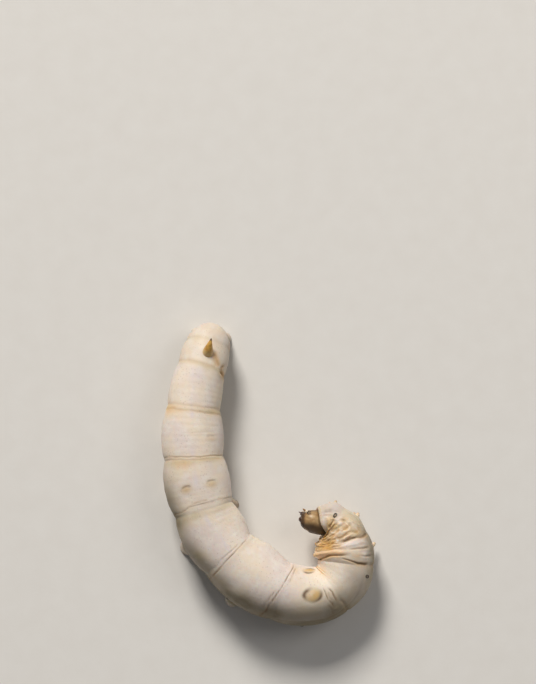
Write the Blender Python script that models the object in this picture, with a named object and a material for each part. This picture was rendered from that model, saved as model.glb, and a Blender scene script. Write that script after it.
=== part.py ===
"""Silkworm: a full-grown Bombyx mori larva as a still, life-size model.

The body is swept along one curled path, from the tail end to the neck. Each segment is its own
closed solid, parted from the next by a thin plane cut, and legs, prolegs, horn and head parts
stand 0.3 mm clear of the skin they grow from. Lengths in this file are millimetres; add_node
turns them into metres. +X is the right of the plan view, +Y its top, +Z up from the floor.
"""
import bpy
import numpy as np

MM = 0.001
GAP = 0.3          # clear space between neighbouring solids
SECTORS = 32       # points round one body ring
RINGS = 8          # rings along one body segment
FOLD_RINGS = 14    # rings along a folded thorax segment
START = (-8.498, 22.257)   # plan position of the tail end
CAP = 3.0          # length over which the tail end rounds off

# One row per boundary between segments, tail end first. heading and plane are degrees
# anticlockwise from +X: the way the path runs, and the way the section plane faces. pitch leans
# the plane back at the top. height is the centre above the floor; width, up and down are the
# half sizes; roll tips the back towards the inside of the curl.
BOUNDARIES = np.array([
    # heading  plane pitch height width   up  down roll
    [262.0, 262.0, 12.0, 3.35, 2.70, 2.20, 2.20,  0.0],
    [259.0, 259.0, 12.0, 3.98, 3.00, 2.70, 2.70,  0.0],
    [255.5, 255.5,  9.0, 4.42, 3.32, 3.05, 3.05,  0.0],
    [254.6, 254.6,  4.0, 5.05, 3.50, 3.40, 3.45,  0.0],
    [264.4, 264.4,  0.0, 5.45, 3.85, 3.75, 3.80,  1.0],
    [275.7, 275.7,  0.0, 5.60, 4.30, 4.20, 4.10,  2.0],
    [287.0, 287.0,  0.0, 5.60, 4.30, 4.20, 4.10,  5.0],
    [312.0, 312.0,  0.0, 5.50, 4.35, 4.30, 4.10, 12.0],
    [340.0, 341.0,  0.0, 5.00, 4.35, 4.30, 4.10, 26.0],
    [392.0, 396.0,  0.0, 4.12, 4.00, 3.80, 3.98, 40.0],
    [448.0, 443.0,  0.0, 4.00, 4.12, 4.20, 4.02, 48.0],
    [465.0, 467.0,  0.0, 4.25, 3.70, 4.10, 3.45, 60.0],
    [510.0, 504.0,  0.0, 4.60, 2.45, 2.70, 2.50, 72.0],
    [552.0, 540.0,  0.0, 4.80, 1.95, 2.15, 1.95, 80.0],
])
HEADING, PLANE, PITCH, HEIGHT, WIDTH, UP, DOWN, ROLL = range(8)

# Segment, length on the centre line, bulge between its grooves.
SEGMENTS = [
    ("abdomen_10", 2.1, 0.00),
    ("abdomen_9",  1.6, 0.08),
    ("abdomen_8",  3.4, 0.20),
    ("abdomen_7",  5.9, 0.25),
    ("abdomen_6",  7.5, 0.50),
    ("abdomen_5",  7.8, 0.60),
    ("abdomen_4",  7.5, 0.40),
    ("abdomen_3",  9.5, 0.50),
    ("abdomen_2",  8.0, 0.30),
    ("abdomen_1",  4.6, 0.10),
    ("metathorax", 3.6, 0.35),
    ("mesothorax", 2.9, 0.12),
    ("prothorax",  1.9, 0.12),
]
ORDER = [name for name, _, _ in SEGMENTS]
LENGTHS = np.array([length for _, length, _ in SEGMENTS])
BULGES = np.array([bulge for _, _, bulge in SEGMENTS])
KNOTS = np.concatenate([[0.0], np.cumsum(LENGTHS)])

# Folds across the back: how many, and how deep.
FOLDS = {"metathorax": (3, 0.16), "mesothorax": (3, 0.14)}

# Segment, side, how far along it, angle from the back's midline, plan shift of the foot from the
# root (forward, outward).
PROLEGS = [
    ("abdomen_6", "right", 0.50, 143, (0.2, 0.2)),
    ("abdomen_6", "left",  0.50, 143, (0.2, 0.2)),
    ("abdomen_5", "right", 0.55, 143, (0.2, 0.2)),
    ("abdomen_5", "left",  0.66, 141, (1.0, 1.4)),
    ("abdomen_4", "right", 0.50, 143, (0.1, 1.0)),
    ("abdomen_4", "left",  0.50, 143, (0.1, 0.1)),
    ("abdomen_3", "right", 0.50, 146, (0.0, 0.8)),
    ("abdomen_3", "left",  0.50, 143, (0.0, 0.0)),
    ("abdomen_10", "right", 0.60, 140, (-0.3, 0.5)),
    ("abdomen_10", "left",  0.60, 140, (-0.3, 0.5)),
]
PROLEG_ROOT, PROLEG_FOOT = 1.60, 1.12
CLASPER_ROOT, CLASPER_FOOT = 1.00, 0.92

# Segment, side, how far along it, angle, root radius, then the tip as steps from the root:
# forward, outward on the plan and down.
LEGS = [
    ("metathorax", "right", 0.50, 166, 0.46, (0.5, 0.50, 1.20)),
    ("metathorax", "left",  0.45, 166, 0.46, (0.5, 1.35, 0.25)),
    ("mesothorax", "right", 0.50, 166, 0.45, (0.3, 0.35, 1.20)),
    ("mesothorax", "left",  0.50, 166, 0.45, (0.4, 0.60, 1.20)),
    ("prothorax",  "right", 0.40, 154, 0.43, (0.0, 0.62, 0.95)),
    ("prothorax",  "left",  0.50, 154, 0.43, (0.1, 0.70, 1.20)),
]

SPIRACLES = ["abdomen_8", "abdomen_7", "abdomen_6", "abdomen_5", "abdomen_4", "abdomen_3",
             "abdomen_2", "abdomen_1", "prothorax"]
SPIRACLE_AT = {"prothorax": 0.25, "abdomen_8": 0.55, "abdomen_1": 0.70}
SPIRACLE_ANGLE = 100
SPIRACLE_SIZE = (0.46, 0.30, 0.09)

HORN_AT, HORN_ROOT, HORN_TIP = 0.44, 0.66, 0.13

SKIN = (0.74, 0.62, 0.50)
HORN_BROWN = (0.36, 0.20, 0.06)
HEAD_TAN = (0.30, 0.17, 0.08)
MOUTH_BROWN = (0.09, 0.035, 0.018)
ANTENNA_CREAM = (0.70, 0.56, 0.40)


def along(s, column):
    """A column of BOUNDARIES at path length s, by a smooth cubic between its rows."""
    values = BOUNDARIES[:, column]
    slopes = np.gradient(values, KNOTS)
    i = np.clip(np.searchsorted(KNOTS, s, side="right") - 1, 0, len(KNOTS) - 2)
    h = KNOTS[i + 1] - KNOTS[i]
    t = (s - KNOTS[i]) / h
    return ((2 * t**3 - 3 * t**2 + 1) * values[i] + (t**3 - 2 * t**2 + t) * h * slopes[i]
            + (3 * t**2 - 2 * t**3) * values[i + 1] + (t**3 - t**2) * h * slopes[i + 1])


def running_sum(values, step):
    return np.concatenate([[0.0], np.cumsum((values[1:] + values[:-1]) / 2 * step)])


FINE = np.linspace(0.0, KNOTS[-1], 4001)
FINE_HEIGHT = along(FINE, HEIGHT)
CLIMB = np.gradient(FINE_HEIGHT, FINE)
LEVEL = np.sqrt(1 - CLIMB**2)
TURN = np.radians(along(FINE, HEADING))
FINE_X = START[0] + running_sum(np.cos(TURN) * LEVEL, FINE[1])
FINE_Y = START[1] + running_sum(np.sin(TURN) * LEVEL, FINE[1])


def centre(s):
    """The centre line at s. It is the integral of (cos heading, sin heading, climb)."""
    return np.stack([np.interp(s, FINE, FINE_X), np.interp(s, FINE, FINE_Y),
                     np.interp(s, FINE, FINE_HEIGHT)], axis=-1)


def frame(s):
    """Unit vectors forward, right and back (dorsal) of the section plane at s."""
    turn = np.radians(along(s, PLANE))
    climb = np.interp(s, FINE, CLIMB)
    level = np.sqrt(1 - climb**2)
    forward = np.stack([np.cos(turn) * level, np.sin(turn) * level, climb], axis=-1)
    side = np.stack([np.sin(turn), -np.cos(turn), 0 * turn], axis=-1)
    above = np.cross(side, forward)
    roll = np.radians(along(s, ROLL))[..., None]
    back = np.cos(roll) * above - np.sin(roll) * side
    right = np.cos(roll) * side + np.sin(roll) * above
    pitch = np.radians(along(s, PITCH))[..., None]
    return (np.cos(pitch) * forward + np.sin(pitch) * back, right,
            np.cos(pitch) * back - np.sin(pitch) * forward)


def skin(index, t, angle, grow=0.0):
    """Points on segment index: t from 0 at its rear cut to 1 at its front cut, angle in radians
    from the midline of the back towards the right. The plane cuts take half a gap off each end.
    """
    t, angle = np.broadcast_arrays(np.asarray(t, float), np.asarray(angle, float))
    s = KNOTS[index] + t * LENGTHS[index]
    swell = BULGES[index] * (4 * t * (1 - t)).clip(0, 1) ** 0.7 + grow
    folds, depth = FOLDS.get(ORDER[index], (0, 0.0))
    back_side = (0.5 + 0.5 * np.cos(angle)) * np.sin(np.pi * t.clip(0, 1))
    swell = swell - depth * back_side * np.cos(2 * np.pi * folds * t) * (folds > 0)
    swell = swell + 0.10 * np.exp(-((np.abs(np.degrees(angle)) - 118) / 16) ** 2)
    cap = np.sqrt(np.clip(1 - (1 - np.clip(s / CAP, 0, 1)) ** 2, 0, 1))
    width = (along(s, WIDTH) + swell) * cap
    tall = np.where(np.cos(angle) > 0, along(s, UP) + swell, along(s, DOWN) + 0.7 * swell) * cap
    forward, right, back = frame(s)
    points = (centre(s) + right * (width * np.sin(angle))[..., None]
              + back * (tall * np.cos(angle))[..., None])
    rear, front = frame(KNOTS[index])[0], frame(KNOTS[index + 1])[0]
    rear = rear * (index > 0)
    points = points + GAP / 2 * ((1 - t)[..., None] * rear - t[..., None] * front)
    points[..., 2] = np.maximum(points[..., 2], 0.0)
    return points


def skin_steps(index, t, angle):
    """How the skin point moves with t and with the angle, from two short steps on it."""
    step = 1e-3
    along_t = (skin(index, t + step, angle) - skin(index, t - step, angle)) / (2 * step)
    around = (skin(index, t, angle + step) - skin(index, t, angle - step)) / (2 * step)
    return along_t, around


def skin_normal(index, t, angle):
    """Outward unit normal of the skin."""
    along_t, around = skin_steps(index, t, angle)
    normal = np.cross(around, along_t)
    return normal / np.linalg.norm(normal, axis=-1, keepdims=True)


def patch(index, t, degrees, radius, rings, sectors, run=None):
    """Rings where a round bar meets the skin, centre out, a gap above it, and their middle point.

    run is the bar's unit direction, the skin's normal if None. Ring k has radius k / rings of the
    whole; column j stands at 2 pi j / sectors round the bar. Each point q of the bar's section
    slides along run to the tangent plane: p = q - run (q.n) / (run.n).
    """
    angle = np.radians(degrees)
    along_t, around = skin_steps(index, t, angle)
    normal = skin_normal(index, t, angle)
    run = normal if run is None else run
    first = along_t - (along_t @ run) * run
    first = first / np.linalg.norm(first)
    second = np.cross(run, first)
    r = (np.arange(1, rings + 1) / rings * radius)[:, None, None]
    a = (2 * np.pi * np.arange(sectors) / sectors)[None, :, None]
    q = r * (np.cos(a) * first + np.sin(a) * second)
    p = q - (q @ normal)[..., None] / (run @ normal) * run
    ts = t + p @ along_t / (along_t @ along_t)
    angles = angle + p @ around / (around @ around)
    points = skin(index, ts, angles) + GAP * skin_normal(index, ts, angles)
    return points, skin(index, t, angle) + GAP * normal


def closed_rows(first, rows, last):
    """Points and triangles of a closed skin: a pole, rings of equal length, a pole.

    Rings run anticlockwise seen from the last pole.
    """
    rows = np.asarray(rows)
    count, sectors = rows.shape[:2]
    points = np.concatenate([[first], rows.reshape(-1, 3), [last]])
    j = np.arange(sectors)
    following = (j + 1) % sectors
    faces = [np.stack([0 * j, 1 + following, 1 + j], axis=1)]
    for k in range(count - 1):
        low, high = 1 + k * sectors, 1 + (k + 1) * sectors
        faces += [np.stack([low + j, low + following, high + following], axis=1),
                  np.stack([low + j, high + following, high + j], axis=1)]
    top = 1 + (count - 1) * sectors
    faces += [np.stack([top + j, top + following, 0 * j + len(points) - 1], axis=1)]
    return points, np.concatenate(faces)


def outward(points, faces):
    """The same triangles, turned to face out."""
    a, b, c = (points[faces[:, k]] for k in range(3))
    volume = np.einsum("ij,ij->i", a, np.cross(b, c)).sum()
    return faces if volume > 0 else faces[:, ::-1]


def material(name, colour, roughness):
    made = bpy.data.materials.new(name)
    made.use_nodes = True
    shader = made.node_tree.nodes["Principled BSDF"]
    shader.inputs["Base Color"].default_value = (*colour, 1.0)
    shader.inputs["Roughness"].default_value = roughness
    return made


def add_node(name, points, faces, colour, roughness=0.5):
    mesh = bpy.data.meshes.new(name)
    mesh.from_pydata((np.asarray(points) * MM).tolist(), [], outward(points, faces).tolist())
    mesh.update()
    made = bpy.data.objects.new(name, mesh)
    mesh.materials.append(material(name, colour, roughness))
    bpy.context.scene.collection.objects.link(made)
    return made


def fuse(target, name, points, faces):
    """Joins a small closed mesh to a node with a Boolean, then drops the helper."""
    helper = add_node(name, points, faces, (0.1, 0.06, 0.04))
    helper.hide_render = True
    helper.display_type = "WIRE"
    join = target.modifiers.new(name, "BOOLEAN")
    join.operation = "UNION"
    join.solver = "EXACT"
    join.object = helper


def ellipsoid(middle, axes, sizes, rings=6, sectors=12):
    """A closed ellipsoid: axes are three unit vectors, sizes the half sizes along them."""
    polar = (np.pi * np.arange(1, rings) / rings)[:, None, None]
    around = (2 * np.pi * np.arange(sectors) / sectors)[None, :, None]
    u, v, w = (np.asarray(axis) * size for axis, size in zip(axes, sizes))
    rows = middle + np.sin(polar) * (np.cos(around) * u + np.sin(around) * v) + np.cos(polar) * w
    return closed_rows(middle + w, rows, middle - w)


def build_segments():
    made = {}
    angles = 2 * np.pi * np.arange(SECTORS) / SECTORS
    angles = np.where(angles > np.pi, angles - 2 * np.pi, angles)
    for index, name in enumerate(ORDER):
        rings = FOLD_RINGS if name in FOLDS else RINGS
        # Rings crowd towards the cuts, where the skin turns in.
        t = 0.5 - 0.5 * np.cos(np.pi * np.linspace(0, 1, rings)) if index else \
            np.sin(np.pi / 2 * np.linspace(0, 1, rings + 1)[1:]) ** 2
        rows = skin(index, t[:, None], angles[None, :])
        rear = rows[0].mean(axis=0) if index else skin(0, 0.0, 0.0)
        made[name] = add_node(name, *closed_rows(rear, rows, rows[-1].mean(axis=0)), SKIN)
    return made


def build_spiracles(segments):
    """Breathing holes: a low oval rim on each flank, fused into its segment."""
    for name in SPIRACLES:
        index = ORDER.index(name)
        t = SPIRACLE_AT.get(name, 0.42)
        for side, word in ((1, "right"), (-1, "left")):
            angle = np.radians(side * SPIRACLE_ANGLE)
            middle = skin(index, t, angle)
            if middle[2] < 0.5:
                continue
            normal = skin_normal(index, t, angle)
            tall = skin(index, t, angle + 1e-3) - skin(index, t, angle - 1e-3)
            tall = tall / np.linalg.norm(tall)
            axes = (tall, np.cross(normal, tall), normal)
            fuse(segments[name], f"spiracle_{name}_{word}",
                 *ellipsoid(middle, axes, SPIRACLE_SIZE))


def stem(root, middle, ends, sole):
    """A closed limb: a root patch on the skin, rings (centre, radius, normal), a closing point.

    The columns of each ring follow those of the ring before it, so that the limb doesn't twist.
    """
    sectors = root.shape[1]
    rows = [ring for ring in root]
    for point, radius, normal in ends:
        normal = normal / np.linalg.norm(normal)
        spokes = root[-1] - middle
        spokes = spokes - (spokes @ normal)[:, None] * normal
        first = spokes[0] / np.linalg.norm(spokes[0])
        second = np.cross(normal, first)
        sense = np.sign(spokes[sectors // 4] @ second)
        a = 2 * np.pi * np.arange(sectors) / sectors * sense
        rows.append(point + radius * (np.cos(a)[:, None] * first + np.sin(a)[:, None] * second))
    return closed_rows(middle, rows, sole)


def plan_axes(index, t, middle):
    """Level unit vectors ahead along the body, and out from it, at a point of the skin."""
    s = KNOTS[index] + t * LENGTHS[index]
    forward = frame(s)[0]
    ahead = np.array([forward[0], forward[1], 0.0]) / np.hypot(forward[0], forward[1])
    out = (middle - centre(s)) * (1, 1, 0)
    out = out - (out @ ahead) * ahead
    return ahead, out / np.linalg.norm(out)


def build_proleg(name, index, t, degrees, shift, root, foot):
    """A fleshy leg from the belly to a round flat sole on the floor."""
    middle = patch(index, t, degrees, root, 1, 4)[1]
    ahead, out = plan_axes(index, t, middle)
    sole = middle * (1, 1, 0) + ahead * shift[0] + out * shift[1]
    down = np.array([0.0, 0.0, -1.0])
    normal = skin_normal(index, t, np.radians(degrees))
    run = (sole - middle) / np.linalg.norm(sole - middle) + 0.5 * normal
    run = run / np.linalg.norm(run)
    rings, middle = patch(index, t, degrees, root, 3, 16, run)
    ends = []
    for part, radius in ((0.30, 0.40 * root + 0.60 * foot), (0.55, foot * 1.04),
                         (0.80, foot * 1.05), (0.93, foot)):
        point = middle + (sole - middle) * part
        ends.append((point, radius, max(0.0, 0.8 - 1.3 * part) * run + part * down))
    ends.append((sole, foot * 0.93, down))
    points, faces = stem(rings, middle, ends, sole)
    points[:, 2] = np.maximum(points[:, 2], 0.0)
    add_node(name, points, faces, SKIN)


def build_prolegs():
    for segment, side, t, degrees, shift in PROLEGS:
        index = ORDER.index(segment)
        number = segment.split("_")[1]
        name = f"clasper_{side}" if number == "10" else f"proleg_{number}_{side}"
        sizes = (CLASPER_ROOT, CLASPER_FOOT) if number == "10" else (PROLEG_ROOT, PROLEG_FOOT)
        build_proleg(name, index, t, degrees if side == "right" else -degrees, shift, *sizes)


def build_leg(name, index, t, degrees, radius, tip_step):
    """A three-jointed thoracic leg that ends in a claw."""
    middle = patch(index, t, degrees, radius, 1, 4)[1]
    ahead, out = plan_axes(index, t, middle)
    reach = ahead * tip_step[0] + out * tip_step[1] + np.array([0.0, 0.0, -tip_step[2]])
    length = np.linalg.norm(reach)
    run = reach / length
    lean = run @ skin_normal(index, t, np.radians(degrees))
    rings, middle = patch(index, t, degrees, radius, 2, 12, run)
    # The first full ring clears the skin on the side to which the leg leans.
    clear = radius * np.sqrt(1 - lean**2) / lean + 0.10
    ends = []
    for part, size in ((0.0, 1.0), (0.14, 0.94), (0.22, 0.80), (0.30, 0.82), (0.50, 0.68),
                       (0.57, 0.56), (0.64, 0.56), (0.80, 0.38), (0.93, 0.20)):
        ends.append((middle + run * (clear + part * (length - clear)), size * radius, run))
    add_node(name, *stem(rings, middle, ends, middle + reach), SKIN)


def build_legs():
    for segment, side, t, degrees, radius, tip in LEGS:
        build_leg(f"leg_{segment}_{side}", ORDER.index(segment), t,
                  degrees if side == "right" else -degrees, radius, tip)


def build_horn():
    """The tail horn: a short soft spike on the back of abdomen 8 that leans to the rear."""
    index = ORDER.index("abdomen_8")
    forward, _, back = frame(KNOTS[index] + HORN_AT * LENGTHS[index])
    rings, base = patch(index, HORN_AT, 0.0, HORN_ROOT, 2, 16)
    mid = base + 1.00 * back - 0.20 * forward
    tip = base + 1.45 * back - 1.30 * forward
    ends = []
    for part, radius in ((0.18, 0.57), (0.36, 0.46), (0.55, 0.36), (0.75, 0.27), (0.92, HORN_TIP)):
        point = (1 - part) ** 2 * base + 2 * part * (1 - part) * mid + part**2 * tip
        ends.append((point, radius, (1 - part) * (mid - base) + part * (tip - mid)))
    add_node("tail_horn", *stem(rings, base, ends, tip), HORN_BROWN)


# The head stands ahead of the neck cut. Its frame: x forward, y right, z back (dorsal).
HEAD_HEADING, HEAD_ROLL = 535.0, 80.0
HEAD_PROFILE = np.array([
    # x     right  up    down
    [0.20,  1.05, 1.20, 0.90],
    [0.36,  1.50, 1.65, 1.25],
    [0.70,  1.78, 1.88, 1.44],
    [1.10,  1.86, 1.84, 1.43],
    [1.55,  1.80, 1.76, 1.39],
    [1.92,  1.63, 1.64, 1.33],
    [2.20,  1.34, 1.38, 1.20],
    [2.38,  0.98, 1.02, 0.95],
    [2.47,  0.55, 0.60, 0.55],
])
# Six small eyes low on each side: place along the head and angle from the back's midline.
EYES = [(1.62, 116), (1.80, 113), (1.98, 119), (2.02, 130), (1.88, 140), (1.66, 136)]


def head_frame():
    turn, roll = np.radians(HEAD_HEADING), np.radians(HEAD_ROLL)
    forward = np.array([np.cos(turn), np.sin(turn), 0.0])
    side = np.array([np.sin(turn), -np.cos(turn), 0.0])
    above = np.array([0.0, 0.0, 1.0])
    right = np.cos(roll) * side + np.sin(roll) * above
    back = np.cos(roll) * above - np.sin(roll) * side
    return centre(KNOTS[-1]), forward, right, back


def in_head(local):
    """World points of points given in the head frame."""
    middle, forward, right, back = head_frame()
    local = np.asarray(local, float)
    return (middle + local[..., 0:1] * forward + local[..., 1:2] * right
            + local[..., 2:3] * back)


def head_skin(x, angle):
    """A point of the head capsule in the head frame, with the cleft between its two lobes."""
    x, angle = np.broadcast_arrays(np.asarray(x, float), np.asarray(angle, float))
    right, up, down = (np.interp(x, HEAD_PROFILE[:, 0], HEAD_PROFILE[:, k]) for k in (1, 2, 3))
    tall = np.where(np.cos(angle) > 0, up, down)
    cleft = 0.15 * np.exp(-(np.degrees(angle) / 13) ** 2) * np.clip(1.5 - np.abs(x - 0.8), 0, 1)
    return np.stack([x, right * np.sin(angle), (tall - cleft) * np.cos(angle)], axis=-1)


def build_head():
    angles = 2 * np.pi * np.arange(40) / 40
    angles = np.where(angles > np.pi, angles - 2 * np.pi, angles)
    rows = head_skin(HEAD_PROFILE[:, 0][:, None], angles[None, :])
    head = add_node("head", *closed_rows(in_head([0.20, 0, 0]), in_head(rows),
                                         in_head([2.50, 0, 0])), HEAD_TAN, 0.35)
    _, forward, right, back = head_frame()
    for side, word in ((1, "right"), (-1, "left")):
        for k, (x, degrees) in enumerate(EYES):
            middle = in_head(head_skin(x, np.radians(side * degrees)))
            fuse(head, f"eye_{word}_{k}",
                 *ellipsoid(middle, (forward, right, back), (0.12, 0.12, 0.12), 4, 8))
        # The upper lip hangs before the face in two small lobes.
        lobe = in_head([2.42, 0.24 * side, 0.52])
        slope = forward * 0.8 - back * 0.6
        fuse(head, f"upper_lip_{word}",
             *ellipsoid(lobe, (right, np.cross(slope, right), slope), (0.28, 0.13, 0.34), 6, 10))


def build_antenna(name, side):
    """Three short joints, each thinner than the last."""
    _, forward, right, back = head_frame()
    axis = forward * 0.72 + right * side * 0.50 - back * 0.48
    axis = axis / np.linalg.norm(axis)
    across = np.cross(axis, back)
    across = across / np.linalg.norm(across)
    root = in_head(head_skin(2.18, np.radians(side * 139)))
    around = (2 * np.pi * np.arange(12) / 12)[None, :, None]
    steps = np.array([0.24, 0.30, 0.48, 0.50, 0.66, 0.68, 0.82])[:, None, None]
    radii = np.array([0.22, 0.25, 0.24, 0.19, 0.17, 0.11, 0.08])[:, None, None]
    rows = root + steps * axis + radii * (
        np.cos(around) * across + np.sin(around) * np.cross(axis, across))
    add_node(name, *closed_rows(root + 0.24 * axis, rows, root + 0.86 * axis),
             ANTENNA_CREAM, 0.4)


def build_mouth():
    """Jaws, and the lower lip with the silk spout."""
    _, forward, right, back = head_frame()
    for side, word in ((1, "right"), (-1, "left")):
        jaw = in_head([2.96, 0.43 * side, 0.02])
        tilt = forward * 0.92 - right * side * 0.39
        add_node(f"mandible_{word}",
                 *ellipsoid(jaw, (np.cross(back, tilt), back, tilt), (0.28, 0.36, 0.27), 8, 12),
                 MOUTH_BROWN, 0.3)
        build_antenna(f"antenna_{word}", side)
    point = forward * 0.94 - back * 0.34
    across = np.cross(point, right)
    lip = add_node("labium", *ellipsoid(in_head([2.86, 0.0, -0.86]), (right, across, point),
                                        (0.46, 0.25, 0.26), 8, 14), MOUTH_BROWN, 0.4)
    fuse(lip, "spout", *ellipsoid(in_head([3.02, 0.0, -0.94]), (right, across, point),
                                  (0.09, 0.09, 0.30), 6, 8))


def main():
    for old in list(bpy.data.objects):
        bpy.data.objects.remove(old, do_unlink=True)
    segments = build_segments()
    build_spiracles(segments)
    build_prolegs()
    build_legs()
    build_horn()
    build_head()
    build_mouth()


main()
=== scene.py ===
# %% [markdown]
# # A silkworm, built life-size
#
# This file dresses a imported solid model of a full-grown silkworm larva. The solids are correct in
# size but plain: thirteen body rings parted by thin cuts, legs, a tail horn and a head. Here they
# become one soft skin with folds and markings, a hard shiny head, jointed legs and dark claws.
# Everything is worked out in millimetres and turned into metres when a mesh is made. +X is the
# right of the plan view, +Y its top and +Z up from the floor.

# %% Load the solid model
import bpy
import numpy as np
from mathutils import Matrix, Vector


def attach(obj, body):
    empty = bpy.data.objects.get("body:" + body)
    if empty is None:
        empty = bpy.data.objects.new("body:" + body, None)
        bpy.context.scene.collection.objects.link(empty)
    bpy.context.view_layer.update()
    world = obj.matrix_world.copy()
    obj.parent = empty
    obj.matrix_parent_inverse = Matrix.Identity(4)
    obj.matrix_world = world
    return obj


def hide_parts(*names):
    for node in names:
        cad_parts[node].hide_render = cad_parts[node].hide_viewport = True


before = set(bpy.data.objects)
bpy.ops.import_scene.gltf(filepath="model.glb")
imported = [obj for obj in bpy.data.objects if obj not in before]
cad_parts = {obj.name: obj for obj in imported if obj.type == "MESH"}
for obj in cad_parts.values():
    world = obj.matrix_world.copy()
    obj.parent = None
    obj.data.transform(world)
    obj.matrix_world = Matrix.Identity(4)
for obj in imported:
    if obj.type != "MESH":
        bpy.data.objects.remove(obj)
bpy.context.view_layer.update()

MM = 0.001
UPWARD = np.array([0.0, 0.0, 1.0])

# %% [markdown]
# ## The line that the body follows
#
# The larva lies in a hook: tail at the top left, head curled back at the lower right. One could
# bend a straight tube with a curve modifier, but then the twist of the body is hard to steer.
# Instead a table gives, at each border between two segments, the compass heading, the height,
# the half sizes and the roll of the section. A smooth cubic joins the rows, and the centre line
# is the running sum of the heading. The table is the one that the solid model uses.

# %% The table of sections and the segments
BORDERS = np.array([
    # heading  plane pitch height width   up  down roll
    [262.0, 262.0, 12.0, 3.35, 2.70, 2.20, 2.20,  0.0],
    [259.0, 259.0, 12.0, 3.98, 3.00, 2.70, 2.70,  0.0],
    [255.5, 255.5,  9.0, 4.42, 3.32, 3.05, 3.05,  0.0],
    [254.6, 254.6,  4.0, 5.05, 3.50, 3.40, 3.45,  0.0],
    [264.4, 264.4,  0.0, 5.45, 3.85, 3.75, 3.80,  1.0],
    [275.7, 275.7,  0.0, 5.60, 4.30, 4.20, 4.10,  2.0],
    [287.0, 287.0,  0.0, 5.60, 4.30, 4.20, 4.10,  5.0],
    [312.0, 312.0,  0.0, 5.50, 4.35, 4.30, 4.10, 12.0],
    [340.0, 341.0,  0.0, 5.00, 4.35, 4.30, 4.10, 26.0],
    [392.0, 396.0,  0.0, 4.12, 4.00, 3.80, 3.98, 40.0],
    [448.0, 443.0,  0.0, 4.00, 4.12, 4.20, 4.02, 48.0],
    [465.0, 467.0,  0.0, 4.25, 3.70, 4.10, 3.45, 60.0],
    [510.0, 504.0,  0.0, 4.60, 2.45, 2.70, 2.50, 72.0],
    [552.0, 540.0,  0.0, 4.80, 1.95, 2.15, 1.95, 80.0],
])
HEADING, PLANE, PITCH, HEIGHT, WIDTH, UP, DOWN, ROLL = range(8)

# Segment, length on the centre line, bulge between its grooves.
SEGMENTS = [
    ("abdomen_10", 2.1, 0.00),
    ("abdomen_9",  1.6, 0.08),
    ("abdomen_8",  3.4, 0.20),
    ("abdomen_7",  5.9, 0.25),
    ("abdomen_6",  7.5, 0.50),
    ("abdomen_5",  7.8, 0.60),
    ("abdomen_4",  7.5, 0.40),
    ("abdomen_3",  9.5, 0.50),
    ("abdomen_2",  8.0, 0.30),
    ("abdomen_1",  4.6, 0.10),
    ("metathorax", 3.6, 0.35),
    ("mesothorax", 2.9, 0.12),
    ("prothorax",  1.9, 0.12),
]
ORDER = [name for name, _, _ in SEGMENTS]
LENGTHS = np.array([length for _, length, _ in SEGMENTS])
BULGES = np.array([bulge for _, _, bulge in SEGMENTS])
KNOTS = np.concatenate([[0.0], np.cumsum(LENGTHS)])
START = (-8.498, 22.257)
CAP = 3.0                  # length over which the tail end rounds off
print("body line:", round(KNOTS[-1], 1), "mm in", len(SEGMENTS), "segments")


def at(segment, t):
    """Path length of the place t (0 rear, 1 front) of a segment."""
    index = ORDER.index(segment)
    return KNOTS[index] + t * LENGTHS[index]


# %% Smooth values along the path
def cubic(knots, values, x):
    """A smooth curve through (knots, values). Between two knots it is the cubic that has their
    values and the slopes of the chords around them."""
    slopes = np.gradient(values, knots)
    i = np.clip(np.searchsorted(knots, x, side="right") - 1, 0, len(knots) - 2)
    h = knots[i + 1] - knots[i]
    t = (x - knots[i]) / h
    return ((2 * t**3 - 3 * t**2 + 1) * values[i] + (t**3 - 2 * t**2 + t) * h * slopes[i]
            + (3 * t**2 - 2 * t**3) * values[i + 1] + (t**3 - t**2) * h * slopes[i + 1])


def along(s, column):
    """A column of the table at path length s."""
    return cubic(KNOTS, BORDERS[:, column], s)


def running_sum(values, step):
    """The integral of evenly spaced values, by the trapezium rule."""
    return np.concatenate([[0.0], np.cumsum((values[1:] + values[:-1]) / 2 * step)])


def smooth(x):
    """0 below 0, 1 above 1, and the cubic 3x^2 - 2x^3 between."""
    x = np.clip(x, 0.0, 1.0)
    return x * x * (3 - 2 * x)


def rise(x, start, length):
    """0 before start and 1 from start + length on, smooth between."""
    return smooth((x - start) / length)


def fall(x, start, length):
    """1 before start and 0 from start + length on, smooth between."""
    return 1 - rise(x, start, length)


def bell(x, middle, width):
    """exp(-r^2), where r is the distance from the middle in widths."""
    return np.exp(-((x - middle) / width) ** 2)


def unit(v):
    """The same directions with length 1."""
    return v / np.linalg.norm(v, axis=-1, keepdims=True)


FINE = np.linspace(0.0, KNOTS[-1], 4001)
CLIMB = np.gradient(along(FINE, HEIGHT), FINE)
TURN = np.radians(along(FINE, HEADING))
LEVEL = np.sqrt(1 - CLIMB**2)
FINE_X = START[0] + running_sum(np.cos(TURN) * LEVEL, FINE[1])
FINE_Y = START[1] + running_sum(np.sin(TURN) * LEVEL, FINE[1])


def centre(s):
    """The centre line at s: the running sum of (cos heading, sin heading, climb)."""
    return np.stack([np.interp(s, FINE, FINE_X), np.interp(s, FINE, FINE_Y), along(s, HEIGHT)],
                    axis=-1)


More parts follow.
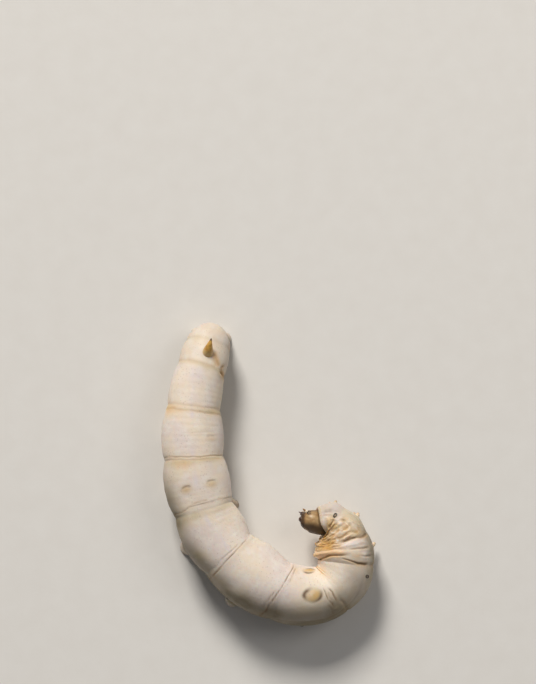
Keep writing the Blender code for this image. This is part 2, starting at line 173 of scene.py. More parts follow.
def section(s):
    """Unit vectors forward, right and back (towards the back's midline) of the section at s."""
    turn = np.radians(along(s, PLANE))
    climb = np.interp(s, FINE, CLIMB)
    level = np.sqrt(1 - climb**2)
    forward = np.stack([np.cos(turn) * level, np.sin(turn) * level, climb], axis=-1)
    side = np.stack([np.sin(turn), -np.cos(turn), 0 * turn], axis=-1)
    above = np.cross(side, forward)
    roll = np.radians(along(s, ROLL))[..., None]
    back = np.cos(roll) * above - np.sin(roll) * side
    right = np.cos(roll) * side + np.sin(roll) * above
    pitch = np.radians(along(s, PITCH))[..., None]
    return (np.cos(pitch) * forward + np.sin(pitch) * back, right,
            np.cos(pitch) * back - np.sin(pitch) * forward)


# %% [markdown]
# ## The bare skin
#
# The skin is a surface of two parameters: s, the distance along the body, and the angle round it,
# which is 0 on the midline of the back and grows to the right. The section is an oval whose upper
# and lower halves differ. Each segment swells a little between its borders, and a soft ridge runs
# along each flank. This is far easier to fold, groove and paint later than a sculpted lump,
# because every place on the animal has an address.

# %% The skin as a function of two parameters
TROUGH = 0.25              # rounds the bottom of the tuck between two segments
SWELL, BELLY_SWELL = 1.17, 0.7     # gain on the table's bulge, and the belly's share of it
BACK_LEVEL, BACK_HALF = 0.62, 55   # even level of the back in bulges, its half width in degrees
FILLED = ((0, 9, 18, 45, 58), (0.97, 0.92, 0.86, 0.86, 0.0))     # s, and how far the tucks fill
RIDGE, RIDGE_AT, RIDGE_WIDE = 0.10, 118, 16                      # mm high, degrees


def skin(s, angle):
    """Centre + right * width * sin(angle) + back * height * cos(angle), where both half sizes
    grow by SWELL bulge (q^2 / (q + TROUGH))^0.7 with q = 4 t (1 - t) inside a segment, and shrink
    at the tail as a sphere does. On the back the tucks are filled up towards an even level."""
    s, angle = np.broadcast_arrays(np.asarray(s, float), np.asarray(angle, float))
    index = np.clip(np.searchsorted(KNOTS, s, side="right") - 1, 0, len(LENGTHS) - 1)
    t = np.clip((s - KNOTS[index]) / LENGTHS[index], 0, 1)
    q = 4 * t * (1 - t)
    swell = SWELL * BULGES[index] * (q**2 / (q + TROUGH)) ** 0.7
    level = BACK_LEVEL * np.interp(s, (KNOTS[1:] + KNOTS[:-1]) / 2, BULGES)
    filled = np.interp(s, *FILLED) * np.exp(-(np.degrees(angle) / BACK_HALF) ** 4)
    swell = swell + (level - swell) * filled
    swell = swell + RIDGE * bell(np.abs(np.degrees(angle)), RIDGE_AT, RIDGE_WIDE)
    cap = np.sqrt(np.clip(1 - (1 - np.clip(s / CAP, 0, 1)) ** 2, 0, 1))
    width = (along(s, WIDTH) + swell) * cap
    tall = np.where(np.cos(angle) > 0, along(s, UP) + swell,
                    along(s, DOWN) + BELLY_SWELL * swell) * cap
    _, right, back = section(s)
    points = (centre(s) + right * (width * np.sin(angle))[..., None]
              + back * (tall * np.cos(angle))[..., None])
    points[..., 2] = np.maximum(points[..., 2], 0.0)
    return points


def skin_steps(s, angle):
    """How the skin point moves per mm of s and per radian of angle."""
    step = 1e-3
    return ((skin(s + step, angle) - skin(s - step, angle)) / (2 * step),
            (skin(s, angle + step) - skin(s, angle - step)) / (2 * step))


def skin_normal(s, angle):
    """Unit vector out of the skin."""
    ahead, around = skin_steps(s, angle)
    return unit(np.cross(around, ahead))


# %% [markdown]
# ## Making a mesh from a grid
#
# All pieces below are grids: rows along the piece, columns round it, closed by a point at each
# end. One helper joins the points with quads and fans, and another turns the faces outwards and
# stores the per-point masks that the materials read.

# %% From grid to object
def turn_out(points, quads):
    """The step that reads the corners of each quad so that it faces out: 1 if the volume that
    the quads span with the origin is positive, and -1 if they have to be read backwards."""
    first, second, third, fourth = (points[quads[:, k]] for k in range(4))
    volume = (first * (np.cross(second, third) + np.cross(third, fourth))).sum()
    return 1 if volume > 0 else -1


def shell(rows, start, end):
    """Points, quads and triangles of a closed tube: a pole, rings of equal length, a pole."""
    rows = np.asarray(rows, float)
    count, sectors = rows.shape[:2]
    points = np.concatenate([[start], rows.reshape(-1, 3), [end]])
    j = np.arange(sectors)
    k = np.arange(count - 1)[:, None] * sectors + 1
    following = (j + 1) % sectors
    quads = np.stack([k + j, k + following, k + sectors + following, k + sectors + j], axis=-1)
    top = 1 + (count - 1) * sectors
    fans = np.concatenate([np.stack([0 * j, 1 + following, 1 + j], axis=1),
                           np.stack([top + j, top + following, 0 * j + len(points) - 1], axis=1)])
    return points, quads.reshape(-1, 4), fans


def piece(name, shells, material, replaced=(), masks=None):
    """An object from closed shells, in metres. masks holds one number per point and mask."""
    points, faces, offset = [], [], 0
    for shell_points, quads, fans in shells:
        turn = turn_out(shell_points, quads)
        faces += (quads[:, ::turn] + offset).tolist() + (fans[:, ::turn] + offset).tolist()
        points.append(shell_points)
        offset += len(shell_points)
    mesh = bpy.data.meshes.new(name)
    mesh.from_pydata((np.concatenate(points) * MM).tolist(), [], faces)
    mesh.polygons.foreach_set("use_smooth", np.ones(len(faces), bool))
    for label, values in (masks or {}).items():
        stored = mesh.attributes.new(label, "FLOAT", "POINT")
        stored.data.foreach_set("value", np.asarray(values, np.float32).ravel())
    mesh.update()
    made = bpy.data.objects.new(name, mesh)
    mesh.materials.append(material)
    bpy.context.scene.collection.objects.link(made)
    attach(made, "root")
    if replaced:
        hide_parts(*replaced)
    return made


def with_poles(start, values, end):
    """A mask for every point of a shell: the first pole, the grid and the last pole."""
    return np.concatenate([[start], np.ravel(values), [end]])


# %% [markdown]
# ## Where the points of the skin go
#
# A vertex budget of about a hundred thousand has to show grooves a tenth of a millimetre wide.
# So the rings stand closer at the borders and over the wrinkled thorax, and the columns stand
# closer on the flanks, where the legs are pulled out. At the tail the rings follow a quarter
# circle, which keeps them evenly spaced over the rounded end.

# %% The grid of the skin
TAIL_RINGS, BODY_RINGS, COLUMNS = 30, 458, 196
COARSE, BORDER_FINE, THORAX_FINE = 0.165, 0.095, 0.105     # ring spacing in mm


def spread(low, high, count, density):
    """count places from low to high, closer where density is larger: equal steps of its sum."""
    fine = np.linspace(low, high, 6001)
    total = running_sum(density(fine), fine[1] - fine[0])
    return np.interp(np.linspace(0, total[-1], count), total, fine)


def ring_density(s):
    """Rings per mm: the coarse number, more near the borders and on the thorax."""
    borders = bell(s[:, None], KNOTS[None, 1:], 0.5).sum(axis=1).clip(0, 1)
    thorax = rise(s, at("abdomen_1", 0.9), 0.8)
    return (1 / COARSE + borders * (1 / BORDER_FINE - 1 / COARSE)
            + (1 - borders) * thorax * (1 / THORAX_FINE - 1 / COARSE))


def column_density(angle):
    """1, and half as much again near the line on each flank where the stumps stand."""
    return 1 + 0.55 * np.exp(-((np.abs(angle) - np.radians(142)) / np.radians(24)) ** 4)


TAIL_TURN = np.linspace(0.04, np.pi / 2, TAIL_RINGS, endpoint=False)
S = np.concatenate([CAP * (1 - np.cos(TAIL_TURN)),
                    spread(CAP, KNOTS[-1] - 1e-6, BODY_RINGS, ring_density)])[:, None]
ANGLE = spread(-np.pi, np.pi, COLUMNS + 1, column_density)[:-1][None, :]
DEGREES = np.degrees(ANGLE)
GIRTH = (along(S, WIDTH) + along(S, UP)) / 2      # mean half size: mm round the body per radian
MEAN_GIRTH = 4.0           # the same for the whole body, roughly


def round_from(degrees):
    """The angle of each column counted from another, in radians from -pi to pi."""
    return (ANGLE - np.radians(degrees) + np.pi) % (2 * np.pi) - np.pi


print("skin grid:", len(S), "rings of", COLUMNS, "columns")

# %% [markdown]
# ## Noise that fits a closed body
#
# Skin is never regular, so most patterns are pushed about by smooth noise. The noise is made
# on a table of random numbers that wraps round the body, and a smooth blend fills in between.
# Each call has its own seed, so the animal is the same every time.

# %% Smooth noise on the skin
def noise(size, seed, stretch=1.0, ahead=S):
    """Random numbers from -1 to 1 on cells of size mm (times stretch round the body), joined by
    the smooth cubic, one value for each point of the skin grid. The distance along the body
    can be replaced by another that grows more slowly."""
    around = max(3, round(2 * np.pi * MEAN_GIRTH / (size * stretch)))
    table = np.random.default_rng(seed).uniform(-1, 1, (int(KNOTS[-1] / size) + 3, around))
    x, y = ahead / size, (ANGLE / (2 * np.pi) + 0.5) * around
    i, j = np.floor(x).astype(int), np.floor(y).astype(int)
    u, v = smooth(x - i), smooth(y - j)
    j, k = j % around, (j + 1) % around
    return ((1 - u) * ((1 - v) * table[i, j] + v * table[i, k])
            + u * ((1 - v) * table[i + 1, j] + v * table[i + 1, k]))


def rough(size, seed, stretch=1.0):
    """Three sizes of noise, each half as large and half as strong as the one before."""
    return (noise(size, seed, stretch) + 0.5 * noise(size / 2, seed + 100, stretch)
            + 0.25 * noise(size / 4, seed + 200, stretch)) / 1.75


# %% [markdown]
# ## Drawing on the skin
#
# Folds, creases and marks are strokes: a line through a few places, each given as a distance
# along the body and an angle. The strength falls off with the distance from the line, and both
# ends taper. The same stroke can push the skin in, puff it up or colour it.

# %% Strokes and spots
WANDER = 0.10 * noise(1.3, 1) + 0.05 * noise(0.6, 2)     # mm by which a drawn line strays


def stroke(places, width, taper=0.2, stray=1.0):
    """exp(-(distance / width)^2) to the nearest straight piece of the line, in the flat map
    x = s, y = girth * angle, times a taper over that share of the length at both ends."""
    places = np.array(places, float)
    reach = 4 * width + 0.6
    rows = np.flatnonzero((S[:, 0] > places[:, 0].min() - reach)
                          & (S[:, 0] < places[:, 0].max() + reach))
    window = slice(rows[0], rows[-1] + 1)
    girth = GIRTH[window]
    x = S[window] + stray * WANDER[window]
    y = girth * ANGLE
    lengths = np.hypot(np.diff(places[:, 0]), MEAN_GIRTH * np.radians(np.diff(places[:, 1])))
    begins = np.concatenate([[0], np.cumsum(lengths)])
    nearest, share = np.full(x.shape, np.inf), np.zeros(x.shape)
    for k, length in enumerate(lengths):
        x0, x1 = places[k, 0], places[k + 1, 0]
        y0, y1 = girth * np.radians(places[k, 1]), girth * np.radians(places[k + 1, 1])
        dx, dy = x1 - x0, y1 - y0
        u = np.clip(((x - x0) * dx + (y - y0) * dy) / (dx**2 + dy**2 + 1e-9), 0, 1)
        distance = np.hypot(x - x0 - u * dx, y - y0 - u * dy)
        closer = distance < nearest
        nearest = np.where(closer, distance, nearest)
        share = np.where(closer, (begins[k] + u * length) / begins[-1], share)
    ends = smooth(np.minimum(share, 1 - share) / taper)
    strength = np.zeros((len(S), COLUMNS))
    strength[window] = bell(nearest, 0, width) * (0.15 + 0.85 * ends)
    return strength


def steps_from(s, degrees, long, wide):
    """Steps from a place in a flat map, along the body and round it, in units of the half sizes
    long and wide."""
    return (S - s) / long, GIRTH * round_from(degrees) / wide


def spot(s, degrees, long, wide, power=2.0):
    """exp(-r^power), where r is the distance from a place in units of the half sizes."""
    return np.exp(-np.hypot(*steps_from(s, degrees, long, wide)) ** power)


# %% [markdown]
# ## Prolegs and claspers grown from the skin
#
# A caterpillar walks on soft prolegs: stumps of the same skin, four pairs under the middle of the
# body and one pair, the claspers, at the tail. Joining separate stumps would leave a seam. Here
# each stump is pulled out of the grid itself. Around the root, a point's distance from the
# middle decides how far down the stump it goes: the outer ones bend into a fillet, the next ones
# make the wall and the innermost ones spread into the flat sole.

# %% The table of limbs
# Segment, side, place along it, angle from the back's midline, shift of the foot in the plan
# (forward, outward), root and foot radius.
LIMBS = [
    ("abdomen_6", "right", 0.50, 143, (0.2, 0.2), 1.60, 1.12),
    ("abdomen_6", "left",  0.50, 143, (0.2, 0.2), 1.60, 1.12),
    ("abdomen_5", "right", 0.55, 143, (0.2, 0.2), 1.60, 1.12),
    ("abdomen_5", "left",  0.80, 138, (2.0, 1.60), 1.30, 0.66),
    ("abdomen_4", "right", 0.50, 143, (0.1, 1.0), 1.60, 1.12),
    ("abdomen_4", "left",  0.50, 143, (0.1, 0.1), 1.60, 1.12),
    ("abdomen_3", "right", 0.50, 146, (0.0, 0.8), 1.60, 1.12),
    ("abdomen_3", "left",  0.50, 143, (0.0, 0.0), 1.60, 1.12),
    ("abdomen_10", "right", 0.60, 140, (-0.3, 0.5), 1.00, 0.92),
    ("abdomen_10", "left",  0.60, 140, (-0.3, 0.5), 1.00, 0.92),
]
# Segment, side, place, angle, root radius, steps from root to tip (forward, outward, down).
LEGS = [
    ("metathorax", "right", 0.50, 166, 0.46, (0.5, 0.50, 1.20)),
    ("metathorax", "left",  0.45, 166, 0.46, (0.5, 1.35, 0.25)),
    ("mesothorax", "right", 0.50, 166, 0.45, (0.3, 0.35, 1.20)),
    ("mesothorax", "left",  0.50, 166, 0.45, (0.4, 0.60, 1.20)),
    ("prothorax",  "right", 0.40, 154, 0.43, (0.0, 0.62, 0.95)),
    ("prothorax",  "left",  0.50, 154, 0.43, (0.1, 0.70, 1.20)),
]
CLEAR = 0.3                # the solid model's limbs start this far off the skin


def signed(side, degrees):
    """Angles grow to the right and shrink to the left."""
    return degrees if side == "right" else -degrees


def plan_axes(s, root):
    """Level unit vectors ahead along the body, and out from it, at a point of the skin."""
    forward = section(s)[0]
    ahead = unit(forward * (1, 1, 0))
    out = (root - centre(s)) * (1, 1, 0)
    return ahead, unit(out - (out @ ahead) * ahead)


# %% Pulling a stump out of the grid
# Share of the way from rim to sole, the radius there in units of the foot's, and how far down the
# stump it lies. Near the rim the radius is stretched to that of the patch.
WALL = np.array([0.00, 0.16, 0.32, 0.46, 0.58, 0.70, 0.82, 0.92, 1.00])
WALL_RADIUS = np.array([2.00, 1.76, 1.52, 1.34, 1.22, 1.14, 1.15, 1.08, 0.92])
WALL_DEPTH = np.array([0.00, 0.03, 0.14, 0.30, 0.46, 0.63, 0.80, 0.94, 1.00])
SOLE = 0.30                # share of the patch that becomes the sole


def grow_limb(points, s0, degrees, shift, root_radius, foot_radius):
    """Moves the points of a round patch onto a stump, and returns how far down each one lies.

    A point of the patch has polar places (r, a) round the root. Its target lies on a ring of the
    stump, middle + depth * (sole - middle) + radius(u) * (cos a, sin a), with u growing from 0 at
    the patch's rim to 1 at the sole's rim. Near the rim it slides over the skin instead."""
    a0 = np.radians(degrees)
    ahead_step, around_step = skin_steps(s0, a0)
    per_s, per_angle = np.linalg.norm(ahead_step), np.linalg.norm(around_step)
    middle, normal = skin(s0, a0), skin_normal(s0, a0)
    root = middle + CLEAR * normal
    ahead, out = plan_axes(s0, root)
    sole = root * (1, 1, 0) + ahead * shift[0] + out * shift[1]
    run = unit(unit(sole - root) + 0.5 * normal)
    e1, e2 = (S - s0) * per_s, round_from(degrees) * per_angle
    r, turn = np.hypot(e1, e2), np.arctan2(e2, e1)
    reach = 1.42 * root_radius
    inside = r < reach
    r, turn = r[inside], turn[inside]
    rim = SOLE * reach
    u = np.clip((reach - r) / (reach - rim), 0, 1)
    radius = np.interp(u, WALL, WALL_RADIUS) * foot_radius
    radius = radius + (reach - WALL_RADIUS[0] * foot_radius) * (1 - smooth(u / 0.4))
    radius = radius * np.minimum(1, r / rim)
    depth = np.interp(u, WALL, WALL_DEPTH)
    ring = unit(np.maximum(0, 0.8 - 1.3 * depth)[:, None] * run
                - (0.15 + depth)[:, None] * UPWARD)
    first = unit(ahead_step - (ring @ ahead_step)[:, None] * ring)
    second = np.cross(ring, first)
    second = second * np.sign(second @ around_step)[:, None]
    spoke = np.cos(turn)[:, None] * first + np.sin(turn)[:, None] * second
    target = middle + depth[:, None] * (sole - middle) + radius[:, None] * spoke
    slide = skin(s0 + radius * np.cos(turn) / per_s, a0 + radius * np.sin(turn) / per_angle)
    mix = smooth(depth / 0.30)[:, None]
    moved = slide + (target - slide) * mix
    # A sole is a little hollow: only its rim and pads touch the floor.
    moved[:, 2] = np.maximum(moved[:, 2], 0.05 * smooth(1 - r / rim))
    points[inside] = moved
    down = np.zeros(inside.shape)
    down[inside] = depth
    return down


# %% The bare body with its stumps
BODY = skin(S, ANGLE)
BARE_NORMALS = skin_normal(S, ANGLE)
for segment, side, t, degrees, *_ in LEGS:
    # A soft cone stands under each jointed leg, tallest under the front pair.
    height, wide = (0.62, 0.95) if segment == "prothorax" else (0.30, 0.75)
    mound = spot(at(segment, t), signed(side, degrees), wide, wide, 1.6)
    BODY = BODY + height * mound[..., None] * BARE_NORMALS
LIMB_DEPTH = np.zeros((len(S), COLUMNS))
for segment, side, t, degrees, shift, root_radius, foot_radius in LIMBS:
    LIMB_DEPTH += grow_limb(BODY, at(segment, t), signed(side, degrees), shift,
                            root_radius, foot_radius)
print("stumps grown:", len(LIMBS), "points on them:", int((LIMB_DEPTH > 0).sum()))

# %% [markdown]
# ## Grooves, rolls and creases
#
# Between two segments the skin is tucked in, and the tuck shows as one or two fine lines, not as
# a step. On the curled-in side of the thorax the skin is slack and lies in puffy rolls. Each
# line or roll is named by the segments it lies between, with its place, its width and depth in
# millimetres, how much painted shade darkens its groove, and how much it yellows the skin.

# %% The border lines and named folds
# Places (mm along, degrees round), width, depth (a roll is negative), crease shade (painted shade
# in the groove), ochre.
FOLD_LINES = [
    # tail
    ([(2.1, -120), (2.2, 0), (2.1, 120)], 0.20, 0.012, 0.02, 0.04),
    ([(3.7, -125), (3.8, -30), (3.8, 30), (3.7, 125)], 0.18, 0.015, 0.03, 0.05),
    ([(7.25, -130), (7.2, -70), (7.15, -20), (7.1, 40), (7.0, 130)], 0.13, 0.012, 0.02, 0.14),
    ([(7.6, -110), (7.5, -80), (7.35, -48)], 0.20, 0.22, 0.75, 0.75),
    ([(5.2, -16), (6.0, -30), (6.9, -46)], 0.16, 0.07, 0.20, 0.62),
    ([(5.9, -20), (6.5, -30), (7.0, -36)], 0.14, 0.05, 0.15, 0.40),
    ([(7.05, -30), (7.5, -48), (8.3, -60)], 0.22, -0.10, 0.0, 0.05),
    ([(6.2, -62), (6.7, -52), (7.2, -58)], 0.12, 0.08, 0.35, 0.50),
    # abdomen 7 and 6: a shallow band with a clear front edge
    ([(13.10, -150), (13.06, -60), (13.04, 0), (12.90, 60), (12.75, 140)],
     0.20, 0.02, 0.08, 0.18),
    ([(13.95, -150), (13.87, -89), (13.81, -49), (13.74, -10), (13.70, 20), (13.55, 60),
      (13.45, 140)], 0.11, 0.055, 0.24, 0.28),
    # abdomen 6 and 5: a doubled line
    ([(20.45, -150), (20.52, -100), (20.52, -43), (20.46, -11), (20.31, 17), (20.07, 59),
      (20.00, 140)], 0.08, 0.06, 0.55, 0.25),
    ([(21.10, -130), (21.00, -46), (20.90, -11), (20.75, 17), (20.52, 59), (20.45, 140)],
     0.10, 0.03, 0.16, 0.20),
    ([(16.75, -60), (16.68, -20), (16.80, 30)], 0.12, 0.025, 0.12, 0.0),
    # abdomen 5 and 4
    ([(27.95, 140), (27.72, 60), (27.66, 41), (27.40, 25), (27.24, 12), (27.36, -3),
      (27.34, -38), (27.49, -76), (27.60, -110)], 0.08, 0.05, 0.66, 0.05),
    ([(27.10, 22), (26.92, 8), (27.00, -12)], 0.09, 0.05, 0.45, 0.10),
    # abdomen 4 and 3
    ([(36.75, 140), (36.45, 60), (36.23, 20), (36.12, -2), (36.05, -28), (36.00, -48)],
     0.09, 0.05, 0.80, 0.05),
    ([(35.62, 36), (35.60, 10), (35.62, -20)], 0.09, 0.05, 0.40, 0.0),
    # abdomen 3 and 2: two rows of short dashes
    ([(44.05, 140), (44.15, 90), (44.31, 56), (44.62, 36), (44.87, 21), (45.36, -7),
      (46.11, -35), (46.3, -90)], 0.10, 0.09, 1.00, 0.05),
    ([(43.78, 66), (43.98, 44), (44.36, 22)], 0.09, 0.08, 0.80, 0.0),
    ([(45.75, 6), (46.30, -16), (46.75, -36)], 0.09, 0.07, 0.70, 0.20),
    # abdomen 2 and 1: a fan of wrinkles on the outer flank
    ([(51.80, 24), (51.90, 34), (51.84, 51), (52.12, 76)], 0.10, 0.12, 0.95, 0.0),
    ([(52.55, 30), (52.90, 42), (52.66, 68)], 0.10, 0.11, 0.90, 0.0),
    ([(52.30, 36), (52.26, 58)], 0.08, 0.09, 0.85, 0.0),
    ([(51.50, 60), (51.75, 78), (51.60, 96)], 0.09, 0.05, 0.35, 0.0),
    ([(52.10, 76), (52.35, 88)], 0.26, -0.10, 0.0, 0.0),
    ([(53.20, 60), (53.30, 100), (53.30, 140)], 0.16, 0.10, 0.20, 0.10),
    ([(53.05, -90), (53.25, -40), (53.35, -10), (53.6, 12)], 0.13, 0.12, 0.35, 0.60),
    ([(53.75, -60), (53.95, -20), (54.15, 8)], 0.11, 0.08, 0.22, 0.60),
    # abdomen 1 and the hind thorax: the roll that hangs over the smooth dome
    ([(57.75, -70), (57.84, -21), (58.75, 2), (59.25, 21), (59.44, 42), (59.40, 57)],
     0.16, 0.22, 0.42, 0.80),
    ([(59.10, -50), (59.55, -12), (59.86, 14), (60.02, 38), (59.92, 54), (59.70, 66)],
     0.36, -0.20, 0.0, 0.62),
    ([(60.30, -60), (60.36, -12), (60.50, 20), (60.56, 40), (60.34, 56)], 0.11, 0.15, 0.26, 0.72),
    ([(58.95, 40), (58.70, 50), (58.46, 60), (58.12, 73), (58.02, 100)], 0.12, 0.20, 0.95, 0.45),
    ([(58.02, 100), (57.95, 150)], 0.12, 0.12, 0.35, 0.10),
    ([(59.30, 78), (59.05, 92), (59.10, 112)], 0.11, 0.09, 0.40, 0.15),
    # hind thorax: the pale pink fold and the line above it
    ([(60.80, 42), (60.90, 67), (60.78, 90), (60.69, 113)], 0.42, -0.17, 0.0, 0.0),
    ([(60.25, 62), (60.18, 84), (60.10, 108)], 0.10, 0.13, 0.55, 0.25),
    ([(61.40, 44), (61.56, 60), (61.56, 80), (61.44, 104), (61.40, 140)], 0.12, 0.21, 0.95, 0.25),
    ([(62.45, -70), (62.30, 0), (62.20, 24), (61.45, 44), (61.20, 58)], 0.13, 0.20, 0.80, 0.75),
    ([(61.05, 30), (60.95, 46), (61.05, 52)], 0.12, 0.12, 0.75, 0.60),
    # the inner side bulges where the curl squeezes it
    ([(61.85, -95), (62.00, -40), (62.10, 2)], 0.62, -0.46, 0.0, 0.10),
    ([(58.75, -80), (58.95, -40), (59.15, -12)], 0.42, -0.26, 0.0, 0.30),
    ([(63.55, -100), (63.65, -45), (63.60, 0)], 0.48, -0.36, 0.0, 0.20),
    # middle thorax
    ([(63.10, 8), (62.92, 30), (63.00, 50)], 0.12, 0.15, 0.60, 0.75),
    ([(62.65, 44), (62.30, 60), (62.26, 84)], 0.11, 0.13, 0.60, 0.55),
    ([(63.60, -20), (63.62, 20), (63.40, 52), (63.30, 80)], 0.11, 0.13, 0.50, 0.60),
    ([(64.35, -60), (64.25, 10), (64.20, 60), (64.05, 96)], 0.12, 0.14, 0.50, 0.55),
    ([(62.10, 112), (62.90, 118), (63.70, 116)], 0.11, 0.08, 0.35, 0.05),
    ([(62.40, 134), (63.20, 140), (64.00, 136)], 0.12, 0.08, 0.25, 0.0),
    # front thorax: the collar round the head
    ([(65.30, 104), (64.85, 84), (64.55, 56), (64.50, 10), (64.50, -60)], 0.13, 0.20, 0.55, 0.55),
    ([(65.85, 96), (65.30, 70), (65.00, 35), (64.95, -60)], 0.30, -0.30, 0.0, 0.44),
    ([(65.30, 128), (65.05, 118), (64.60, 122)], 0.11, 0.06, 0.25, 0.0),
]

RELIEF = np.zeros((len(S), COLUMNS))
MASKS = {label: np.zeros_like(RELIEF)
         for label in ("crease_shade", "ochre", "brown", "lilac", "olive", "shade")}


def paint(label, strength):
    """Raises a mask to this strength wherever it is weaker."""
    np.maximum(MASKS[label], strength, out=MASKS[label])


# Lines fade in and out along their length.
DASHES = (0.58 + 0.55 * noise(1.0, 5, 1.5) + 0.20 * noise(0.45, 6)).clip(0.08, 1)
for places, width, depth, crease_shade, ochre in FOLD_LINES:
    line = stroke(places, width)
    RELIEF -= depth * line * (1.0 if depth < 0 else 0.45 + 0.55 * DASHES)
    if depth > 0:
        RELIEF += 0.28 * depth * stroke(places, 3.2 * width) * (1 - line)
    # Painted shade darkens each groove along its line.
    paint("crease_shade", crease_shade * np.minimum(1, 1.2 * line * DASHES))
    paint("ochre", ochre * stroke(places, 2.6 * width))
print("fold lines:", len(FOLD_LINES), "deepest", round(-RELIEF.min(), 2), "mm")

# %% [markdown]
# ## The slack skin of the thorax
#
# When the head curls in, the back of the thorax crumples into small worm-like rolls. Their
# pattern is a wave along the body whose phase is pushed about by noise, so the rolls fork,
# end and meet. A power below one makes the tops broad and the creases sharp.

# %% Crumples
ROLL_LENGTH = 0.60                         # mm from one roll to the next
CRUMPLED_FROM, CRUMPLED_TO = 60.35, 65.2   # mm along the body
MIDDLE_LINE = 62.6                         # mm along, where the rolls of both sides stay level
THORAX_BACK = (fall(DEGREES, 92, 34) * rise(DEGREES, -150, 40)
               * rise(S, CRUMPLED_FROM, 0.35) * fall(S, CRUMPLED_TO, 0.5)
               * (1 - rise(S, 63.9, 0.5) * rise(DEGREES, 82, 16)))
SLACK = THORAX_BACK * (1 - 0.75 * rise(DEGREES, 44, 14) * fall(S, 61.5, 0.3))
# Fewer and calmer rolls cross the inner side, which is the shorter one.
LOOSE = MIDDLE_LINE + (S - MIDDLE_LINE) * (1 - 0.56 * bell(DEGREES, -55, 75))
CALMER = 1 - 0.52 * bell(DEGREES, -45, 55)
PHASE = LOOSE + 0.42 * noise(1.15, 11, 1.2, LOOSE) + 0.14 * noise(0.60, 12, 1.0, LOOSE)
ROLLS = np.abs(np.sin(np.pi * PHASE / ROLL_LENGTH)) ** 0.7
BREAKS = noise(0.70, 13, 1.0, LOOSE)
WORMS = bell(noise(0.78, 15, 1.25, LOOSE), 0, 0.30)
RELIEF += SLACK * CALMER * (0.15 * (ROLLS - 0.65) * (0.75 + 0.25 * BREAKS)
                            + 0.15 * (WORMS - 0.5) + 0.08 * BREAKS)
# Painted shade darkens the troughs between the rolls.
paint("crease_shade", SLACK * (0.42 * (1 - ROLLS) ** 1.5 * (0.65 + 0.35 * BREAKS)
                         + 0.34 * (1 - WORMS) ** 2 * (1 - 0.6 * ROLLS)))
paint("ochre", SLACK * np.clip(0.42 + 0.52 * fall(DEGREES, 14, 60) + 0.35 * noise(0.9, 14)
                               - 0.22 * ROLLS - 0.26 * WORMS, 0, 1))
paint("olive", SLACK * np.clip(0.52 + 0.35 * noise(1.1, 16) - 0.2 * WORMS, 0, 1))
print("crumples over", round(100 * float((SLACK > 0.5).mean())), "% of the grid")

# %% Rings, flank folds and leather
RING, BELLY_RING = 0.85, 1.3               # mm from one ring to the next
# Faint rings cross the segments of the abdomen, and the flank is loosely puckered.
ABDOMEN = fall(S, at("abdomen_1", 0.6), 2.0)
RING_PHASE = S + 0.18 * noise(2.2, 21, 2.5)
RELIEF += 0.010 * ABDOMEN * np.cos(2 * np.pi * RING_PHASE / RING) * (0.5 + 0.5 * noise(3.0, 22))
RELIEF += bell(np.abs(DEGREES), 98, 17) * (0.05 * rough(1.3, 23, 0.8) + 0.03 * noise(0.7, 24))
# The curl squeezes the inner flank of two segments outwards.
for segment, t, height in (("abdomen_4", 0.50, 0.36), ("abdomen_3", 0.52, 0.34)):
    RELIEF += height * spot(at(segment, t), -80, 3.0, 2.3)
RELIEF += 0.11 * rise(S, 56.5, 3.0) * bell(DEGREES, 98, 42) * rough(1.0, 25, 0.8)
# Two long folds run along each flank: degrees below the line, width, depth, crease shade (painted
# shade in the fold).
FLANK_LINE = [(s, 92 + 4 * np.sin(0.75 * s)) for s in np.arange(4.0, 58.0, 1.0)]
for sense in (1, -1):
    for below, width, depth, crease_shade in ((0, 0.16, 0.06, 0.16), (34, 0.18, 0.08, 0.22)):
        fold = stroke([(s, sense * (angle + below)) for s, angle in FLANK_LINE], width, 0.05, 1.5)
        RELIEF -= depth * fold
        paint("crease_shade", crease_shade * fold)
RELIEF += 0.03 * rise(np.abs(DEGREES), 150, 20) * np.cos(2 * np.pi * RING_PHASE / BELLY_RING)
# Everywhere the skin is softly uneven and finely leathery.
RELIEF += 0.022 * rough(1.6, 31) + 0.012 * rough(0.5, 32)
print("relief from", round(RELIEF.min(), 2), "to", round(RELIEF.max(), 2), "mm")

# %% [markdown]
# ## Markings
#
# The white race of silkworm is not quite blank. It has a pair of thin brown brackets on the fifth
# abdominal segment, a pair of tan ovals with dark rims on the second, a faint blue-grey
# vessel under the midline of the back, yellow in the tucks between segments, and lilac-white
# patches. Each kind has its own mask, a number from 0 to 1 at every point.

# %% Brackets and ovals
def bracket(s, degrees, long, wide):
    """Half an oval outline, open to the front: the points s - long * cos(q), wide * sin(q)."""
    q = np.radians(np.linspace(-82, 82, 9))
    round_mm = np.interp(s, S[:, 0], GIRTH[:, 0])
    return [(s - long * np.cos(a), degrees + np.degrees(wide * np.sin(a) / round_mm)) for a in q]


# Place, angle, strength.
BRACKETS = [(at("abdomen_5", 0.55), 23, 0.85), (at("abdomen_5", 0.525), -25, 0.75),
            (at("abdomen_6", 0.62), -37, 0.35)]
for s, degrees, strength in BRACKETS:
    arc = stroke(bracket(s, degrees, 0.42, 0.72), 0.13, 0.25)
    paint("brown", strength * arc * (0.65 + 0.35 * noise(0.5, 41)))
    paint("ochre", 0.38 * strength * spot(s + 0.12, degrees, 0.50, 0.75))
    paint("olive", 0.50 * strength * spot(s + 0.05, degrees, 0.60, 0.85))
    RELIEF += 0.05 * strength * spot(s + 0.20, degrees, 0.45, 0.65) - 0.04 * strength * arc

